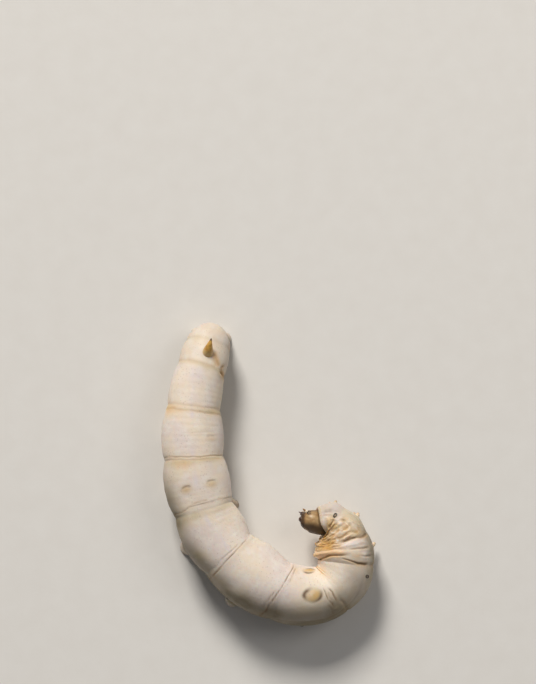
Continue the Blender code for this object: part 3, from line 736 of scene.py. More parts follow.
# Place, angle, half sizes, direction in which the rim is darkest; it is dark again opposite.
OVALS = [(at("abdomen_2", 0.56), 31, 1.45, 1.02, 40),
         (at("abdomen_2", 0.62), -27, 1.75, 0.62, -60)]
for s, degrees, long, wide, dark_side in OVALS:
    x, y = steps_from(s - 0.6 * WANDER, degrees, long, wide)
    far, way = np.hypot(x, y), np.arctan2(y, x)
    rim = bell(far + 0.12 * noise(1.1, 43), 0.94, 0.21)
    dark, opposite = (0.5 + 0.5 * np.cos(way - np.radians(dark_side + turn)) for turn in (0, 165))
    paint("brown", rim * np.clip(0.90 * dark**6 + 1.15 * opposite**6, 0, 0.9))
    paint("ochre", 0.52 * fall(far, 0.45, 0.65) * (0.40 + 0.60 * dark))
    paint("olive", 0.80 * fall(far, 0.55, 0.70) * (0.40 + 0.60 * dark))
    RELIEF += 0.05 * fall(far, 0.15, 0.85) - 0.04 * rim * (dark + opposite)
print("brackets:", len(BRACKETS), "ovals:", len(OVALS))

# %% Tints in the tucks and on single places
# The tucks between segments are tinted olive: place, half width, strength.
TUCKS = [(3.8, 0.30, 0.20), (7.2, 0.35, 0.45), (13.4, 0.42, 0.75), (20.9, 0.55, 0.42),
         (28.6, 0.75, 0.42), (36.6, 0.45, 0.25)]
for s, width, strength in TUCKS:
    band = bell(S + 0.2 * noise(1.5, 51), s, width)
    paint("olive", strength * band * np.clip(0.75 + 0.5 * noise(1.6, 52, 2.0), 0, 1))

# Mask, strength, place, angle, half sizes, power of the falling off.
TINTS = [
    ("ochre", 0.62, at("abdomen_2", 0.62), -27, 1.50, 0.42, 2),
    ("ochre", 0.55, 13.60, 62, 0.80, 2.00, 2),
    ("ochre", 0.35, 21.30, 24, 0.70, 1.60, 2),
    ("ochre", 0.24, 46.60, -28, 0.90, 1.40, 2),
    ("ochre", 0.28, 54.20, -10, 1.50, 1.60, 2),
    ("ochre", 0.35, 59.20, 74, 0.50, 1.00, 2),
    ("ochre", 0.16, 55.60, -35, 2.60, 1.30, 2),
    ("ochre", 0.45, 65.20, 38, 0.90, 2.60, 3),
    ("olive", 0.55, 28.70, 22, 0.70, 1.10, 2),
    ("olive", 0.50, 33.50, 60, 0.80, 1.00, 2),
    ("olive", 0.60, 7.50, -70, 0.80, 1.30, 2),
    ("olive", 0.75, 65.20, 46, 0.80, 2.40, 3),
    ("lilac", 0.60, 60.85, 74, 0.50, 2.40, 3),
    ("brown", 0.55, 63.92, 99, 0.16, 0.20, 2),
]
for label, strength, *place in TINTS:
    paint(label, strength * spot(*place))
# The two spots of each pair overlap, so they are added up first.
paint("lilac", 0.55 * spot(8.6, 3, 1.2, 1.0) + 0.40 * spot(12.0, 0, 1.0, 0.9))
paint("brown", 0.40 * spot(65.90, 117, 0.20, 0.30) + 0.38 * spot(65.50, 120, 0.18, 0.28))
print("tucks:", len(TUCKS), "tinted places:", len(TINTS))

# %% Painted shade on the flanks
# Low on both flanks the skin is painted darker as shade, and on the left of the tail this painted
# shade is olive. The right flank is the outside of the hook: painted shade grows on it along the
# sixth and fifth abdominal segments and stays up to the thorax. The tail end is painted a little
# darker as shade as well.
FLANK_SHADE = rise(np.abs(DEGREES), 84, 46)
LEFT_TAIL_SHADE = rise(-DEGREES, 52, 34) * fall(S, 10, 22)
# Painted shade in olive, low on both flanks and on the left of the tail.
paint("olive", (0.46 * FLANK_SHADE + 0.34 * LEFT_TAIL_SHADE) * (0.85 + 0.3 * noise(1.8, 53)))
UNDER = rise(DEGREES, 140, 30)
ABDOMEN_SIDE_SHADE = (rise(DEGREES, 24, 54) * rise(S, 18, 10) * (1 - 0.5 * rise(S, 52.5, 3.0))
                * fall(S, 56.5, 3.5) * (1 - 0.65 * UNDER))
THORAX_SIDE_SHADE = 0.60 * rise(DEGREES, 84, 34) * rise(S, 50, 4) * fall(S, 61.5, 2) * (1 - UNDER)
OUTER_SHADE = np.maximum(ABDOMEN_SIDE_SHADE, THORAX_SIDE_SHADE)
# The shade mask is painted shade: on the outer flank of the hook, low on both flanks and at the
# tail end.
paint("shade", np.clip(OUTER_SHADE * (0.92 + 0.25 * noise(1.8, 54)) + 0.16 * FLANK_SHADE
                       + 0.26 * fall(S, 1, 9), 0, 1))
print("dusky part of the grid:", round(100 * float((MASKS["shade"] > 0.5).mean())), "%")

# %% Vessel, lilac patches, neck and soles
# The vessel under the back shows as short blue-grey lengths.
VESSEL = bell(np.radians(DEGREES - 2 + 3 * noise(3.0, 61, 2.0)) * GIRTH, 0, 0.30)
VESSEL *= rise(S, 8, 3) * fall(S, 34, 6) * np.clip(0.25 + 0.9 * noise(2.0, 62, 3.0), 0, 1)
paint("lilac", 0.75 * VESSEL)
paint("lilac", rise(S, 64.3, 0.7) * rise(DEGREES, 96, 18) * fall(DEGREES, 152, 20))
paint("lilac", 0.45 * np.clip(rough(3.5, 63) - 0.05, 0, 1))
# Brown flecks on the thorax: strength, place, angle, half sizes.
FLECKS = [(0.55, 62.90, 28, 0.30, 0.34), (0.55, 62.32, 56, 0.22, 0.42),
          (0.60, 61.00, 36, 0.22, 0.26), (0.40, 64.80, 10, 0.30, 0.50)]
for strength, *place in FLECKS:
    paint("brown", strength * spot(*place) * (0.6 + 0.4 * noise(0.45, 71)))
# In front of the collar fold the bare membrane on the neck's back is painted dark brown: partly its
# own colour, partly painted shade between the collar and the head.
paint("brown", 0.85 * rise(S, 65.30, 0.30) * bell(DEGREES, 0, 42))
# The soles are set with rows of brown hooks, so their edges look dark.
HOOKS = bell(LIMB_DEPTH, 0.93, 0.05)
paint("brown", 0.80 * HOOKS * np.clip(0.6 + 0.8 * noise(0.4, 72), 0, 1))
for label, share in (("olive", 0.65), ("shade", 0.90)):
    MASKS[label] *= 1 - share * rise(LIMB_DEPTH, 0.1, 0.4)
# Stumps carry three soft folds and no relief under the sole.
WALLS = rise(LIMB_DEPTH, 0, 0.15) * fall(LIMB_DEPTH, 0.80, 0.12)
RELIEF *= fall(LIMB_DEPTH, 0.85, 0.12)
RELIEF -= 0.13 * WALLS * np.abs(np.cos(2 * np.pi * LIMB_DEPTH * 1.7 + 0.6 * noise(0.8, 73))) ** 3
RELIEF += 0.06 * WALLS * noise(0.7, 74)
print("masks:", {label: round(float(mask.mean()), 3) for label, mask in MASKS.items()})

# %% [markdown]
# ## The finished skin mesh
#
# The relief is pushed out along the normals of the bare body, which come from differences
# between neighbouring grid points. At the neck the skin does not stop: a few more rings
# round over the edge of the collar, turn inwards and close behind the head.

# %% Displace and add the collar
def grid_normals(points):
    """Cross product of the central differences round and along the grid, made unit length."""
    ahead = np.gradient(points, axis=0)
    around = np.roll(points, -1, axis=1) - np.roll(points, 1, axis=1)
    return unit(np.cross(around, ahead) + 1e-12)


SKIN_POINTS = BODY + RELIEF[..., None] * grid_normals(BODY)
SKIN_POINTS[..., 2] = np.maximum(SKIN_POINTS[..., 2], 0.0)
NECK = centre(KNOTS[-1])
NECK_FORWARD = section(KNOTS[-1])[0]
# Over the back of the neck the collar is drawn back, so that the dark shell shows.
drawn = 1.30 * rise(S, 64.4, 1.9) * bell(DEGREES, 2, 55)
SKIN_POINTS -= drawn[..., None] * NECK_FORWARD

COLLAR = np.array([      # step ahead in mm, share of the neck's size
    [0.10, 1.000], [0.20, 0.992], [0.29, 0.972], [0.36, 0.940], [0.40, 0.900],
    [0.39, 0.865], [0.33, 0.840], [0.22, 0.820], [0.05, 0.800], [-0.15, 0.780],
])
collar_rows = [NECK + (SKIN_POINTS[-1] - NECK) * share + ahead * NECK_FORWARD
               for ahead, share in COLLAR]
SKIN_ROWS = np.concatenate([SKIN_POINTS, collar_rows])
TAIL_POLE = skin(0.0, 0.0)


def with_collar(mask, gain, added):
    """A mask for every point: the tail pole, the grid, the collar and the pole in the neck. The
    collar takes on the last ring's value times gain, plus what is added."""
    more = np.repeat(mask[-1:] * gain + added, len(COLLAR), axis=0)
    return with_poles(mask[0].mean(), np.concatenate([mask, more]), 0.0).clip(0, 1)


COLLAR_TINTS = {"crease_shade": (1.0, 0.05), "ochre": (1.0, 0.15), "brown": (0.5, 0.0),
                "lilac": (0.6, 0.0), "olive": (1.0, 0.10), "shade": (1.0, 0.0)}
SKIN_MASKS = {label: with_collar(MASKS[label], *tint) for label, tint in COLLAR_TINTS.items()}
print("skin:", SKIN_ROWS.shape[0] * COLUMNS * 2, "triangles")

# %% [markdown]
# ## Materials
#
# Every finish is a small tree of nodes around the Principled shader. Patterns read object
# coordinates, which are metres here, so a noise of scale 2500 has cells of 0.4 mm. The masks come
# in through Attribute nodes. A few short helpers keep the trees readable.

# %% Node helpers
def linear_light(colour):
    """A colour written as the screen shows it, 0 to 255, turned into the linear light that
    shaders use: x / 12.92 near black and ((x + 0.055) / 1.055)^2.4 above."""
    parts = np.array(colour) / 255
    return np.where(parts < 0.04045, parts / 12.92, ((parts + 0.055) / 1.055) ** 2.4).tolist()


class Finish:
    """A material under construction: its node tree, its shader and its object coordinates."""

    def __init__(self, name, roughness, **sockets):
        self.material = bpy.data.materials.new(name)
        self.material.use_nodes = True
        self.tree = self.material.node_tree
        self.shader = self.tree.nodes["Principled BSDF"]
        self.give("Roughness", roughness)
        for socket, value in sockets.items():
            self.give(socket.replace("_", " "), value)
        self.place = self.add("ShaderNodeTexCoord").outputs["Object"]

    def add(self, kind, inputs=None, **settings):
        """A new node. Each input is a value or the output of another node."""
        made = self.tree.nodes.new(kind)
        for key, value in settings.items():
            setattr(made, key, value)
        for key, value in (inputs or {}).items():
            self.put(made.inputs[key], value)
        return made

    def put(self, socket, value):
        if isinstance(value, bpy.types.NodeSocket):
            self.tree.links.new(value, socket)
        else:
            socket.default_value = value

    def give(self, socket, value):
        """Puts a value or another node's output into a socket of the shader."""
        self.put(self.shader.inputs[socket], value)

    def times(self, first, second):
        made = self.add("ShaderNodeMath", {0: first, 1: second}, operation="MULTIPLY",
                        use_clamp=True)
        return made.outputs[0]

    def mask(self, name, gain=1.0):
        found = self.add("ShaderNodeAttribute", attribute_name=name).outputs["Fac"]
        return found if gain == 1.0 else self.times(found, gain)

    def noise(self, size_mm, detail=2.0, rough=0.5):
        made = self.add("ShaderNodeTexNoise", {"Vector": self.place, "Scale": 1000 / size_mm,
                                               "Detail": detail, "Roughness": rough})
        return made.outputs["Fac"]

    def cells(self, size_mm):
        made = self.add("ShaderNodeTexVoronoi", {"Vector": self.place, "Scale": 1000 / size_mm})
        return made.outputs["Distance"]

    def step(self, value, low, high, out_low=0.0, out_high=1.0):
        """Maps low..high to out_low..out_high along the smooth cubic."""
        made = self.add("ShaderNodeMapRange", {"Value": value, "From Min": low, "From Max": high,
                                               "To Min": out_low, "To Max": out_high},
                        interpolation_type="SMOOTHSTEP")
        return made.outputs["Result"]

    def mix(self, share, first, second):
        """Blends two colours. Sockets 6, 7 and 2 are the node's own for colours."""
        made = self.add("ShaderNodeMix", {"Factor": share}, data_type="RGBA")
        for index, colour in ((6, first), (7, second)):
            if isinstance(colour, tuple):
                colour = (*linear_light(colour), 1.0)
            self.put(made.inputs[index], colour)
        return made.outputs[2]

    def clouds(self, size_mm, detail, low, high, first, second):
        """Two colours in soft patches: noise below low shows the first, above high the second."""
        return self.mix(self.step(self.noise(size_mm, detail), low, high), first, second)

    def painted(self, base, *layers):
        """Lays colours over a base, each where its mask says and as strongly as its gain."""
        for name, gain, colour in layers:
            base = self.mix(self.mask(name, gain), base, colour)
        return base

    def bump(self, height, depth_mm, strength, under=None):
        inputs = {"Height": height, "Distance": depth_mm / 1000, "Strength": strength}
        if under is not None:
            inputs["Normal"] = under
        return self.add("ShaderNodeBump", inputs).outputs["Normal"]


# %% [markdown]
# ## The look of the skin
#
# Living larval skin is thin, and light sinks a millimetre into it, so it glows softly and its
# shadows are warm: that is subsurface scattering. Its surface is matt with a faint satin sheen
# from countless tiny granules. The colour is a pinkish cream, broken by lilac-white clouds
# and fine grey specks, with yellow, olive and brown laid over it by the masks, and with painted
# shade on the flanks, in the grooves and between the rolls. The piece also gets a map whose u
# runs along the body and whose v runs round it.

# %% Skin material
def skin_finish():
    made = Finish("skin", 0.50, Subsurface_Weight=0.30, Subsurface_Scale=0.0009,
                  Subsurface_Radius=(1.0, 0.55, 0.32), IOR=1.42, Specular_IOR_Level=0.42)
    cream = made.clouds(5.5, 3.0, 0.40, 0.64, (228, 213, 194), (221, 207, 198))
    pale = made.step(made.noise(1.4, 4.0, 0.6), 0.42, 0.70, 0.0, 0.55)
    cream = made.mix(pale, cream, (232, 225, 214))
    # Olive is partly the skin's own tint and partly painted shade low on the flanks; the shade
    # layer is painted shade.
    cream = made.painted(cream, ("lilac", 1.0, (216, 206, 208)), ("olive", 1.0, (184, 167, 120)),
                         ("shade", 0.84, (112, 98, 62)), ("ochre", 1.0, (214, 164, 88)))
    specks = made.step(made.cells(0.42), 0.12, 0.30, 0.36, 0.0)
    patchy = made.step(made.noise(2.2, 2.0), 0.40, 0.60)
    cream = made.mix(made.times(specks, patchy), cream, (168, 150, 133))
    # The crease shade layer is painted shade in the grooves and between the rolls.
    made.give("Base Color", made.painted(cream, ("crease_shade", 1.0, (128, 99, 68)),
                                         ("brown", 1.0, (92, 62, 32))))
    grain = made.bump(made.cells(0.16), 0.010, 0.55)
    made.give("Normal", made.bump(made.noise(0.42, 4.0, 0.62), 0.035, 0.75, grain))
    made.give("Roughness", made.step(made.noise(0.9, 2.0), 0.3, 0.7, 0.42, 0.60))
    return made.material


# %% The skin piece and its map
def unwrap(mesh, count, sectors, turn):
    """A map for a single grid: u is the row's share of the length, v the share of the turn."""
    i, j = np.meshgrid(np.arange(count - 1), np.arange(sectors), indexing="ij")
    i, j = i.ravel(), j.ravel()
    low, high, left, right = i + 1, i + 2, j, j + 1
    quads = np.stack([low, left, low, right, high, right, high, left], axis=1)
    quads = quads.reshape(-1, 4, 2)[:, ::turn] / (count + 1, sectors)
    j = np.arange(sectors)
    rear = np.stack([0 * j, j + 0.5, 0 * j + 1, j + 1, 0 * j + 1, j], axis=1)
    front = np.stack([0 * j + count, j, 0 * j + count, j + 1, 0 * j + count + 1, j + 0.5], axis=1)
    fans = np.concatenate([rear, front]).reshape(-1, 3, 2)[:, ::turn] / (count + 1, sectors)
    uv = np.concatenate([quads.reshape(-1), fans.reshape(-1)])
    mesh.uv_layers.new(name="OFBake").data.foreach_set("uv", uv.astype(np.float32))


SKIN_NODES = (ORDER + [f"proleg_{k}_{side}" for k in (3, 4, 5, 6) for side in ("left", "right")]
              + ["clasper_left", "clasper_right"])
skin_shell = shell(SKIN_ROWS, TAIL_POLE, NECK - 0.4 * NECK_FORWARD)
skin_piece = piece("skin", [skin_shell], skin_finish(), SKIN_NODES, SKIN_MASKS)
unwrap(skin_piece.data, len(SKIN_ROWS), COLUMNS, turn_out(*skin_shell[:2]))
print("skin piece:", len(skin_piece.data.polygons), "faces, stands for", len(SKIN_NODES), "nodes")

# %% [markdown]
# ## The head capsule
#
# The head is a hard shell of two rounded halves that meet in a groove on top. The groove forks
# towards the mouth round a small triangular plate, the face. It could be two merged spheres, but
# a single grid with its own outline table keeps the surface clean. The head is rolled on its
# side here, so its right cheek looks up.

# %% The head's frame and surface
HEAD_HEADING, HEAD_ROLL = 535.0, 80.0      # degrees
HEAD_PROFILE = np.array([
    # x     right  up    down
    [0.20,  1.32, 1.66, 1.24],
    [0.36,  1.60, 2.04, 1.46],
    [0.70,  1.80, 2.14, 1.54],
    [1.10,  1.86, 2.04, 1.50],
    [1.55,  1.80, 1.86, 1.44],
    [1.92,  1.66, 1.67, 1.38],
    [2.20,  1.49, 1.52, 1.28],
    [2.45,  1.30, 1.32, 1.16],
    [2.70,  1.06, 1.08, 1.00],
    [2.88,  0.76, 0.78, 0.76],
    [2.96,  0.42, 0.42, 0.42],
])
HEAD_TURN, HEAD_TIP = np.radians(HEAD_HEADING), np.radians(HEAD_ROLL)
HEAD_FORWARD = np.array([np.cos(HEAD_TURN), np.sin(HEAD_TURN), 0.0])
HEAD_SIDE = np.array([np.sin(HEAD_TURN), -np.cos(HEAD_TURN), 0.0])
HEAD_RIGHT = np.cos(HEAD_TIP) * HEAD_SIDE + np.sin(HEAD_TIP) * UPWARD
HEAD_BACK = np.cos(HEAD_TIP) * UPWARD - np.sin(HEAD_TIP) * HEAD_SIDE
HEAD_AXES = np.array([HEAD_FORWARD, HEAD_RIGHT, HEAD_BACK])


def in_head(local):
    """World points of points given in the head's frame: x forward, y right, z back."""
    return NECK + np.asarray(local, float) @ HEAD_AXES


def head_skin(x, angle):
    """(x, right * sin(angle), height * cos(angle)), pulled in along the cleft on top."""
    x, angle = np.broadcast_arrays(np.asarray(x, float), np.asarray(angle, float))
    right, up, down = (cubic(HEAD_PROFILE[:, 0], HEAD_PROFILE[:, k], x) for k in (1, 2, 3))
    tall = np.where(np.cos(angle) > 0, up, down)
    cleft = 0.15 * bell(np.degrees(angle), 0, 13) * np.clip(1.5 - np.abs(x - 0.8), 0, 1)
    return np.stack([x, right * np.sin(angle), (tall - cleft) * np.cos(angle)], axis=-1)


# %% Sutures and cheeks
HEAD_RINGS, HEAD_COLUMNS = 84, 128
turn_in = np.linspace(0.0, 1.0, HEAD_RINGS)
HEAD_X = (0.20 + 2.76 * (turn_in - np.sin(2 * np.pi * turn_in) / (2 * np.pi) * 0.72))[:, None]
HEAD_ANGLE = np.linspace(-np.pi, np.pi, HEAD_COLUMNS, endpoint=False)[None, :]
HEAD_DEGREES = np.degrees(HEAD_ANGLE)
ASIDE = np.abs(HEAD_DEGREES)
FORK = 34 * rise(HEAD_X, 1.25, 0.85)       # degrees from the midline to each branch of it
suture = bell(ASIDE, FORK, 3.2) * fall(HEAD_X, 2.45, 0.2)
face_plate = fall(ASIDE, FORK, 5) * rise(HEAD_X, 1.30, 0.3)
cheek = bell(ASIDE, 74, 34) * bell(HEAD_X, 1.25, 0.65)
brow = bell(ASIDE, 112, 16) * bell(HEAD_X, 1.80, 0.30)
neck_line = bell(HEAD_X, 0.46, 0.06)


def head_waves(cycles, seed):
    """A sum of eight waves with random directions and phases over the unrolled head."""
    draw = np.random.default_rng(seed)
    turns = draw.integers(-cycles, cycles + 1, 8)
    steps = draw.uniform(-cycles / 2, cycles / 2, 8)
    shifts = draw.uniform(0, 2 * np.pi, 8)
    return sum(np.sin(n * HEAD_ANGLE + k * HEAD_X + shift)
               for n, k, shift in zip(turns, steps, shifts)) / 8


def spot_on_head(x, degrees, long, wide):
    """exp(-r^4), where r counts half sizes from a place on the head."""
    return np.exp(-(((HEAD_X - x) / long) ** 2 + ((HEAD_DEGREES - degrees) / wide) ** 2) ** 2)


HEAD_RELIEF = (0.05 * cheek + 0.03 * brow - 0.06 * suture - 0.035 * face_plate - 0.03 * neck_line
               + 0.020 * head_waves(9, 81) + 0.012 * head_waves(22, 82))
head_points = head_skin(HEAD_X, HEAD_ANGLE)
# On the back the hard shell reaches further under the skin, where the collar is drawn back.
head_points[..., 0] -= 1.35 * bell(HEAD_DEGREES, 0, 60) * fall(HEAD_X, 0.2, 1.3)
HEAD_POINTS = in_head(head_points) + HEAD_RELIEF[..., None] * grid_normals(in_head(head_points))
# The back of the head, turned away from the key light, is darker: partly the shell's own brown,
# partly painted shade. A band round the underside is darker as well.
pigment_and_shade = fall(np.abs(HEAD_DEGREES - 4) - 12 * head_waves(7, 83), 42, 34)
HEAD_MASKS = {
    "pigment_and_shade": np.clip(pigment_and_shade * (1 - 0.35 * face_plate) + 0.6 * bell(ASIDE, 150, 22), 0, 1),
    "mottle": np.clip(2.2 * head_waves(16, 84), 0, 1),
    "suture": np.clip(suture + 0.8 * neck_line, 0, 1),
    "mouth_end": rise(HEAD_X + 0.16 * head_waves(6, 85), 2.12, 0.45),
    "eye_field": spot_on_head(1.82, 126, 0.34, 17) + spot_on_head(1.82, -126, 0.34, 17),
}
HEAD_MASKS = {label: with_poles(0.0, mask, 1.0) for label, mask in HEAD_MASKS.items()}
print("head grid:", HEAD_RINGS, "rings of", HEAD_COLUMNS, "columns")

# %% [markdown]
# ## Shell finishes
#
# The head is hardened skin: hard, tan to dark brown, and glossy with a fine sculpture of shallow
# pits. Its back is darker, partly from the shell's own brown and partly as painted shade. A thin
# clear coat gives the sharp lights that the soft skin lacks. The jaws, claws and eyes use darker
# versions of the same idea.

# %% Head and dark shell materials
def head_finish():
    made = Finish("head_shell", 0.40, IOR=1.48, Coat_Weight=0.04, Coat_Roughness=0.35,
                  Subsurface_Weight=0.06, Subsurface_Scale=0.0003)
    tan = made.clouds(0.7, 3.0, 0.38, 0.66, (182, 150, 104), (158, 122, 80))
    made.give("Base Color", made.painted(
        tan, ("mottle", 0.40, (122, 88, 54)), ("pigment_and_shade", 0.94, (66, 48, 28)),
        ("mouth_end", 0.90, (58, 34, 14)), ("suture", 0.75, (44, 28, 18)),
        ("eye_field", 0.60, (40, 26, 20))))
    pits = made.bump(made.cells(0.085), 0.012, 0.55)
    made.give("Normal", made.bump(made.noise(0.30, 3.0), 0.02, 0.5, pits))
    made.give("Roughness", made.step(made.noise(0.5, 2.0), 0.3, 0.7, 0.40, 0.56))
    return made.material


def shell_finish(name, light, dark, roughness=0.3, coat=0.2):
    """Hard skin in streaks of two shades of one colour, with fine grain."""
    made = Finish(name, roughness, IOR=1.5, Coat_Weight=coat, Coat_Roughness=0.2)
    made.give("Base Color", made.clouds(0.35, 3.0, 0.35, 0.65, light, dark))
    made.give("Normal", made.bump(made.noise(0.35 / 3, 3.0), 0.012, 0.6))
    return made.material


MOUTH_SHELL = shell_finish("mouth_shell", (92, 44, 28), (48, 20, 14))
CLAW_SHELL = shell_finish("claw_shell", (110, 66, 34), (60, 32, 18), 0.28)
EYE_SHELL = shell_finish("eye_shell", (30, 22, 18), (14, 10, 9), 0.12, 0.8)

head_shell = shell(HEAD_POINTS, in_head([0.20, 0, 0]), in_head([3.00, 0, 0]))
head_piece = piece("head_capsule", [head_shell], head_finish(), ["head"],
                   HEAD_MASKS)
print("head:", len(head_piece.data.polygons), "faces")

# %% [markdown]
# ## Small forms
#
# Eyes, lips, jaws and claws are all either an oval blob or a tube whose thickness changes along a
# curved line. Two small functions make them. Both return closed shells, so several can go
# into one piece.

# %% Blobs and tubes
def blob(middle, axes, sizes, rings=14, sectors=24, shape=None):
    """middle + u sin(p) cos(q) + v sin(p) sin(q) + w cos(p), where u, v, w are the axes times the
    half sizes. shape turns the three factors into others, which bends it."""
    p = (np.pi * np.arange(1, rings) / rings)[:, None]
    q = (2 * np.pi * np.arange(sectors) / sectors)[None, :]
    arms = [np.asarray(axis) * size for axis, size in zip(axes, sizes)]

    def placed(*factors):
        factors = shape(*factors) if shape else factors
        return middle + sum(factor[..., None] * arm for factor, arm in zip(factors, arms))

    rows = placed(np.sin(p) * np.cos(q), np.sin(p) * np.sin(q), np.cos(p) + 0 * q)
    tips = placed(np.zeros(2), np.zeros(2), np.array([1.0, -1.0]))
    return shell(rows, *tips)


def bend(points, count):
    """count places on the curve through three control points: (1-t)^2 a + 2t(1-t) b + t^2 c."""
    t = np.linspace(0, 1, count)[:, None]
    a, b, c = (np.asarray(point, float) for point in points)
    return (1 - t) ** 2 * a + 2 * t * (1 - t) * b + t**2 * c


def tube(path, radius, sectors=20):
    """Rings round a path: path + radius (cos(q) side + sin(q) up), square to the path. side is a
    fixed direction, made square to the path at each place."""
    path, radius = np.asarray(path, float), np.asarray(radius, float)[:, None, None]
    run = unit(np.gradient(path, axis=0))
    up = unit(np.cross(run, (0.31, 0.27, 0.91)))
    side = np.cross(up, run)
    q = (2 * np.pi * np.arange(sectors) / sectors)[None, :, None]
    rows = path[:, None, :] + radius * (np.cos(q) * side[:, None, :] + np.sin(q) * up[:, None, :])
    return shell(rows, path[0], path[-1] + run[-1] * radius[-1, 0, 0] * 0.6)


# %% [markdown]
# ## Eyes
#
# A caterpillar has no compound eyes. Low on each side of the head stand six simple eyes,
# tiny glossy domes in a curve. They matter more than their size, because their lights make the
# head read as a head.

# %% Twelve simple eyes
SIDES = ((1, "right"), (-1, "left"))
# Place along the head and angle from its back, for the right side.
EYES = [(1.62, 116), (1.80, 113), (1.98, 119), (2.02, 130), (1.88, 140), (1.66, 136)]
EYE_HALF = 0.095                           # mm
eyes = [blob(in_head(head_skin(x, np.radians(sense * degrees))), HEAD_AXES, [EYE_HALF] * 3,
             12, 20)
        for sense, _ in SIDES for x, degrees in EYES]
piece("simple_eyes", eyes, EYE_SHELL)
print("eyes:", len(eyes))

# %% [markdown]
# ## Mouth and antennae
#
# The mouth points forward and down. In front hangs the upper lip with its notch, behind it
# stand two dark jaws with a toothed edge, and below lies the lower lip with the spinneret, the
# spout that gives the silk. A short three-jointed antenna stands at each corner: its root is a
# white ring of soft skin, which catches the light from above.

# %% Lips and jaws
def notched(u, v, w):
    """The upper lip: an oval blob whose front edge dips in the middle."""
    return [u * (1 - 0.15 * w), v, w * (1 - 0.30 * bell(u, 0, 0.30) * (w > 0))]


def toothed(u, v, w):
    """A jaw: it thins towards the biting edge, which carries four blunt teeth."""
    edge = rise(w, -0.2, 1.2)
    return [u * (1 - 0.45 * edge), v * (1 - 0.15 * edge),
            w * (1 + 0.10 * edge * np.cos(4 * np.pi * v))]


lip_run = unit(HEAD_FORWARD * 0.8 - HEAD_BACK * 0.6)
upper_lip = blob(in_head([2.44, 0, 0.50]), (HEAD_RIGHT, np.cross(lip_run, HEAD_RIGHT), lip_run),
                 (0.52, 0.15, 0.36), 24, 36, notched)
piece("upper_lip", [upper_lip], MOUTH_SHELL)
for side, word in SIDES:
    bite = unit(HEAD_FORWARD * 0.92 - HEAD_RIGHT * side * 0.39)
    jaw_axes = (unit(np.cross(HEAD_BACK, bite)), HEAD_BACK, bite)
    jaw = blob(in_head([2.90, 0.43 * side, 0.02]), jaw_axes, (0.27, 0.36, 0.33), 28, 36, toothed)
    seat = blob(in_head([2.52, 0.52 * side, 0.02]), (HEAD_RIGHT, HEAD_BACK, HEAD_FORWARD),
                (0.30, 0.40, 0.30))
    piece(f"jaw_{word}", [jaw, seat], MOUTH_SHELL, [f"mandible_{word}"])

lip_point = unit(HEAD_FORWARD * 0.94 - HEAD_BACK * 0.34)
lip_axes = (HEAD_RIGHT, unit(np.cross(lip_point, HEAD_RIGHT)), lip_point)
spout = bend(in_head([[2.80, 0, -0.86], [3.05, 0, -0.95], [3.30, 0, -1.06]]), 10)
lower_lip = [blob(in_head([2.72, 0, -0.82]), lip_axes, (0.46, 0.27, 0.38), 20, 32),
             blob(in_head([2.38, 0, -0.72]), lip_axes, (0.62, 0.36, 0.36), 16, 28),
             tube(spout, np.linspace(0.13, 0.05, 10), 16)]
FEELER_RADII = [0.12, 0.13, 0.12, 0.10, 0.10, 0.10, 0.08, 0.07, 0.07, 0.06, 0.04, 0.03]
for side, _ in SIDES:
    start, end = in_head([[2.70, 0.34 * side, -0.74], [3.08, 0.42 * side, -0.72]])
    feeler = bend([start, (start + end) / 2 + 0.02 * HEAD_BACK, end], len(FEELER_RADII))
    lower_lip.append(tube(feeler, FEELER_RADII, 14))
piece("lower_lip", lower_lip, MOUTH_SHELL, ["labium"])
print("mouth: upper lip, two jaws, lower lip with spinneret and feelers")

# %% Antennae
JOINT_SKIN = shell_finish("joint_skin", (236, 222, 200), (214, 192, 160), 0.42, 0.05)
JOINT_TAN = shell_finish("joint_tan", (176, 134, 86), (138, 98, 58), 0.36, 0.1)
# Steps along the antenna's axis and the radius at each, for the soft ring and for the joints.
RING_TUBE = ([-0.14, 0.05, 0.16, 0.25, 0.30, 0.33], [0.26, 0.27, 0.25, 0.24, 0.21, 0.16])
JOINTS_TUBE = ([0.24, 0.30, 0.40, 0.48, 0.50, 0.53, 0.62, 0.67, 0.69, 0.74, 0.84],
               [0.15, 0.17, 0.17, 0.16, 0.12, 0.13, 0.13, 0.11, 0.07, 0.07, 0.03])
for side, word in SIDES:
    axis = unit(HEAD_FORWARD * 0.72 + HEAD_RIGHT * side * 0.50 - HEAD_BACK * 0.48)
    root = in_head(head_skin(2.18, np.radians(side * 139)))
    ring, joints = (tube(root + np.outer(steps, axis), radii)
                    for steps, radii in (RING_TUBE, JOINTS_TUBE))
    piece(f"antenna_ring_{word}", [ring], JOINT_SKIN)
    piece(f"antenna_joints_{word}", [joints], JOINT_TAN, [f"antenna_{word}"])
print("antennae:", len(SIDES))

# %% [markdown]
# ## Jointed legs
#
# Each thorax segment has a pair of true legs: short tapering cones of three joints that end in a
# brown claw. Each is a tube along a gently curved path, whose radius rises at each joint
# and is pinched just behind it. The path starts inside the skin's soft cone, so nothing floats.

# %% Six legs with claws
# Share of the way from root to tip, and the radius there in units of the root's.
LEG_PLACE = np.array([0.00, 0.10, 0.17, 0.21, 0.26, 0.36, 0.46, 0.50, 0.54, 0.64, 0.72, 0.76,
                      0.80, 0.88, 0.93])
LEG_THICK = np.array([1.15, 1.08, 1.00, 0.84, 0.90, 0.86, 0.78, 0.62, 0.68, 0.64, 0.56, 0.42,
                      0.44, 0.38, 0.30])
LEG_JOINTS = (0.21, 0.50, 0.76)            # the narrow places between the joints


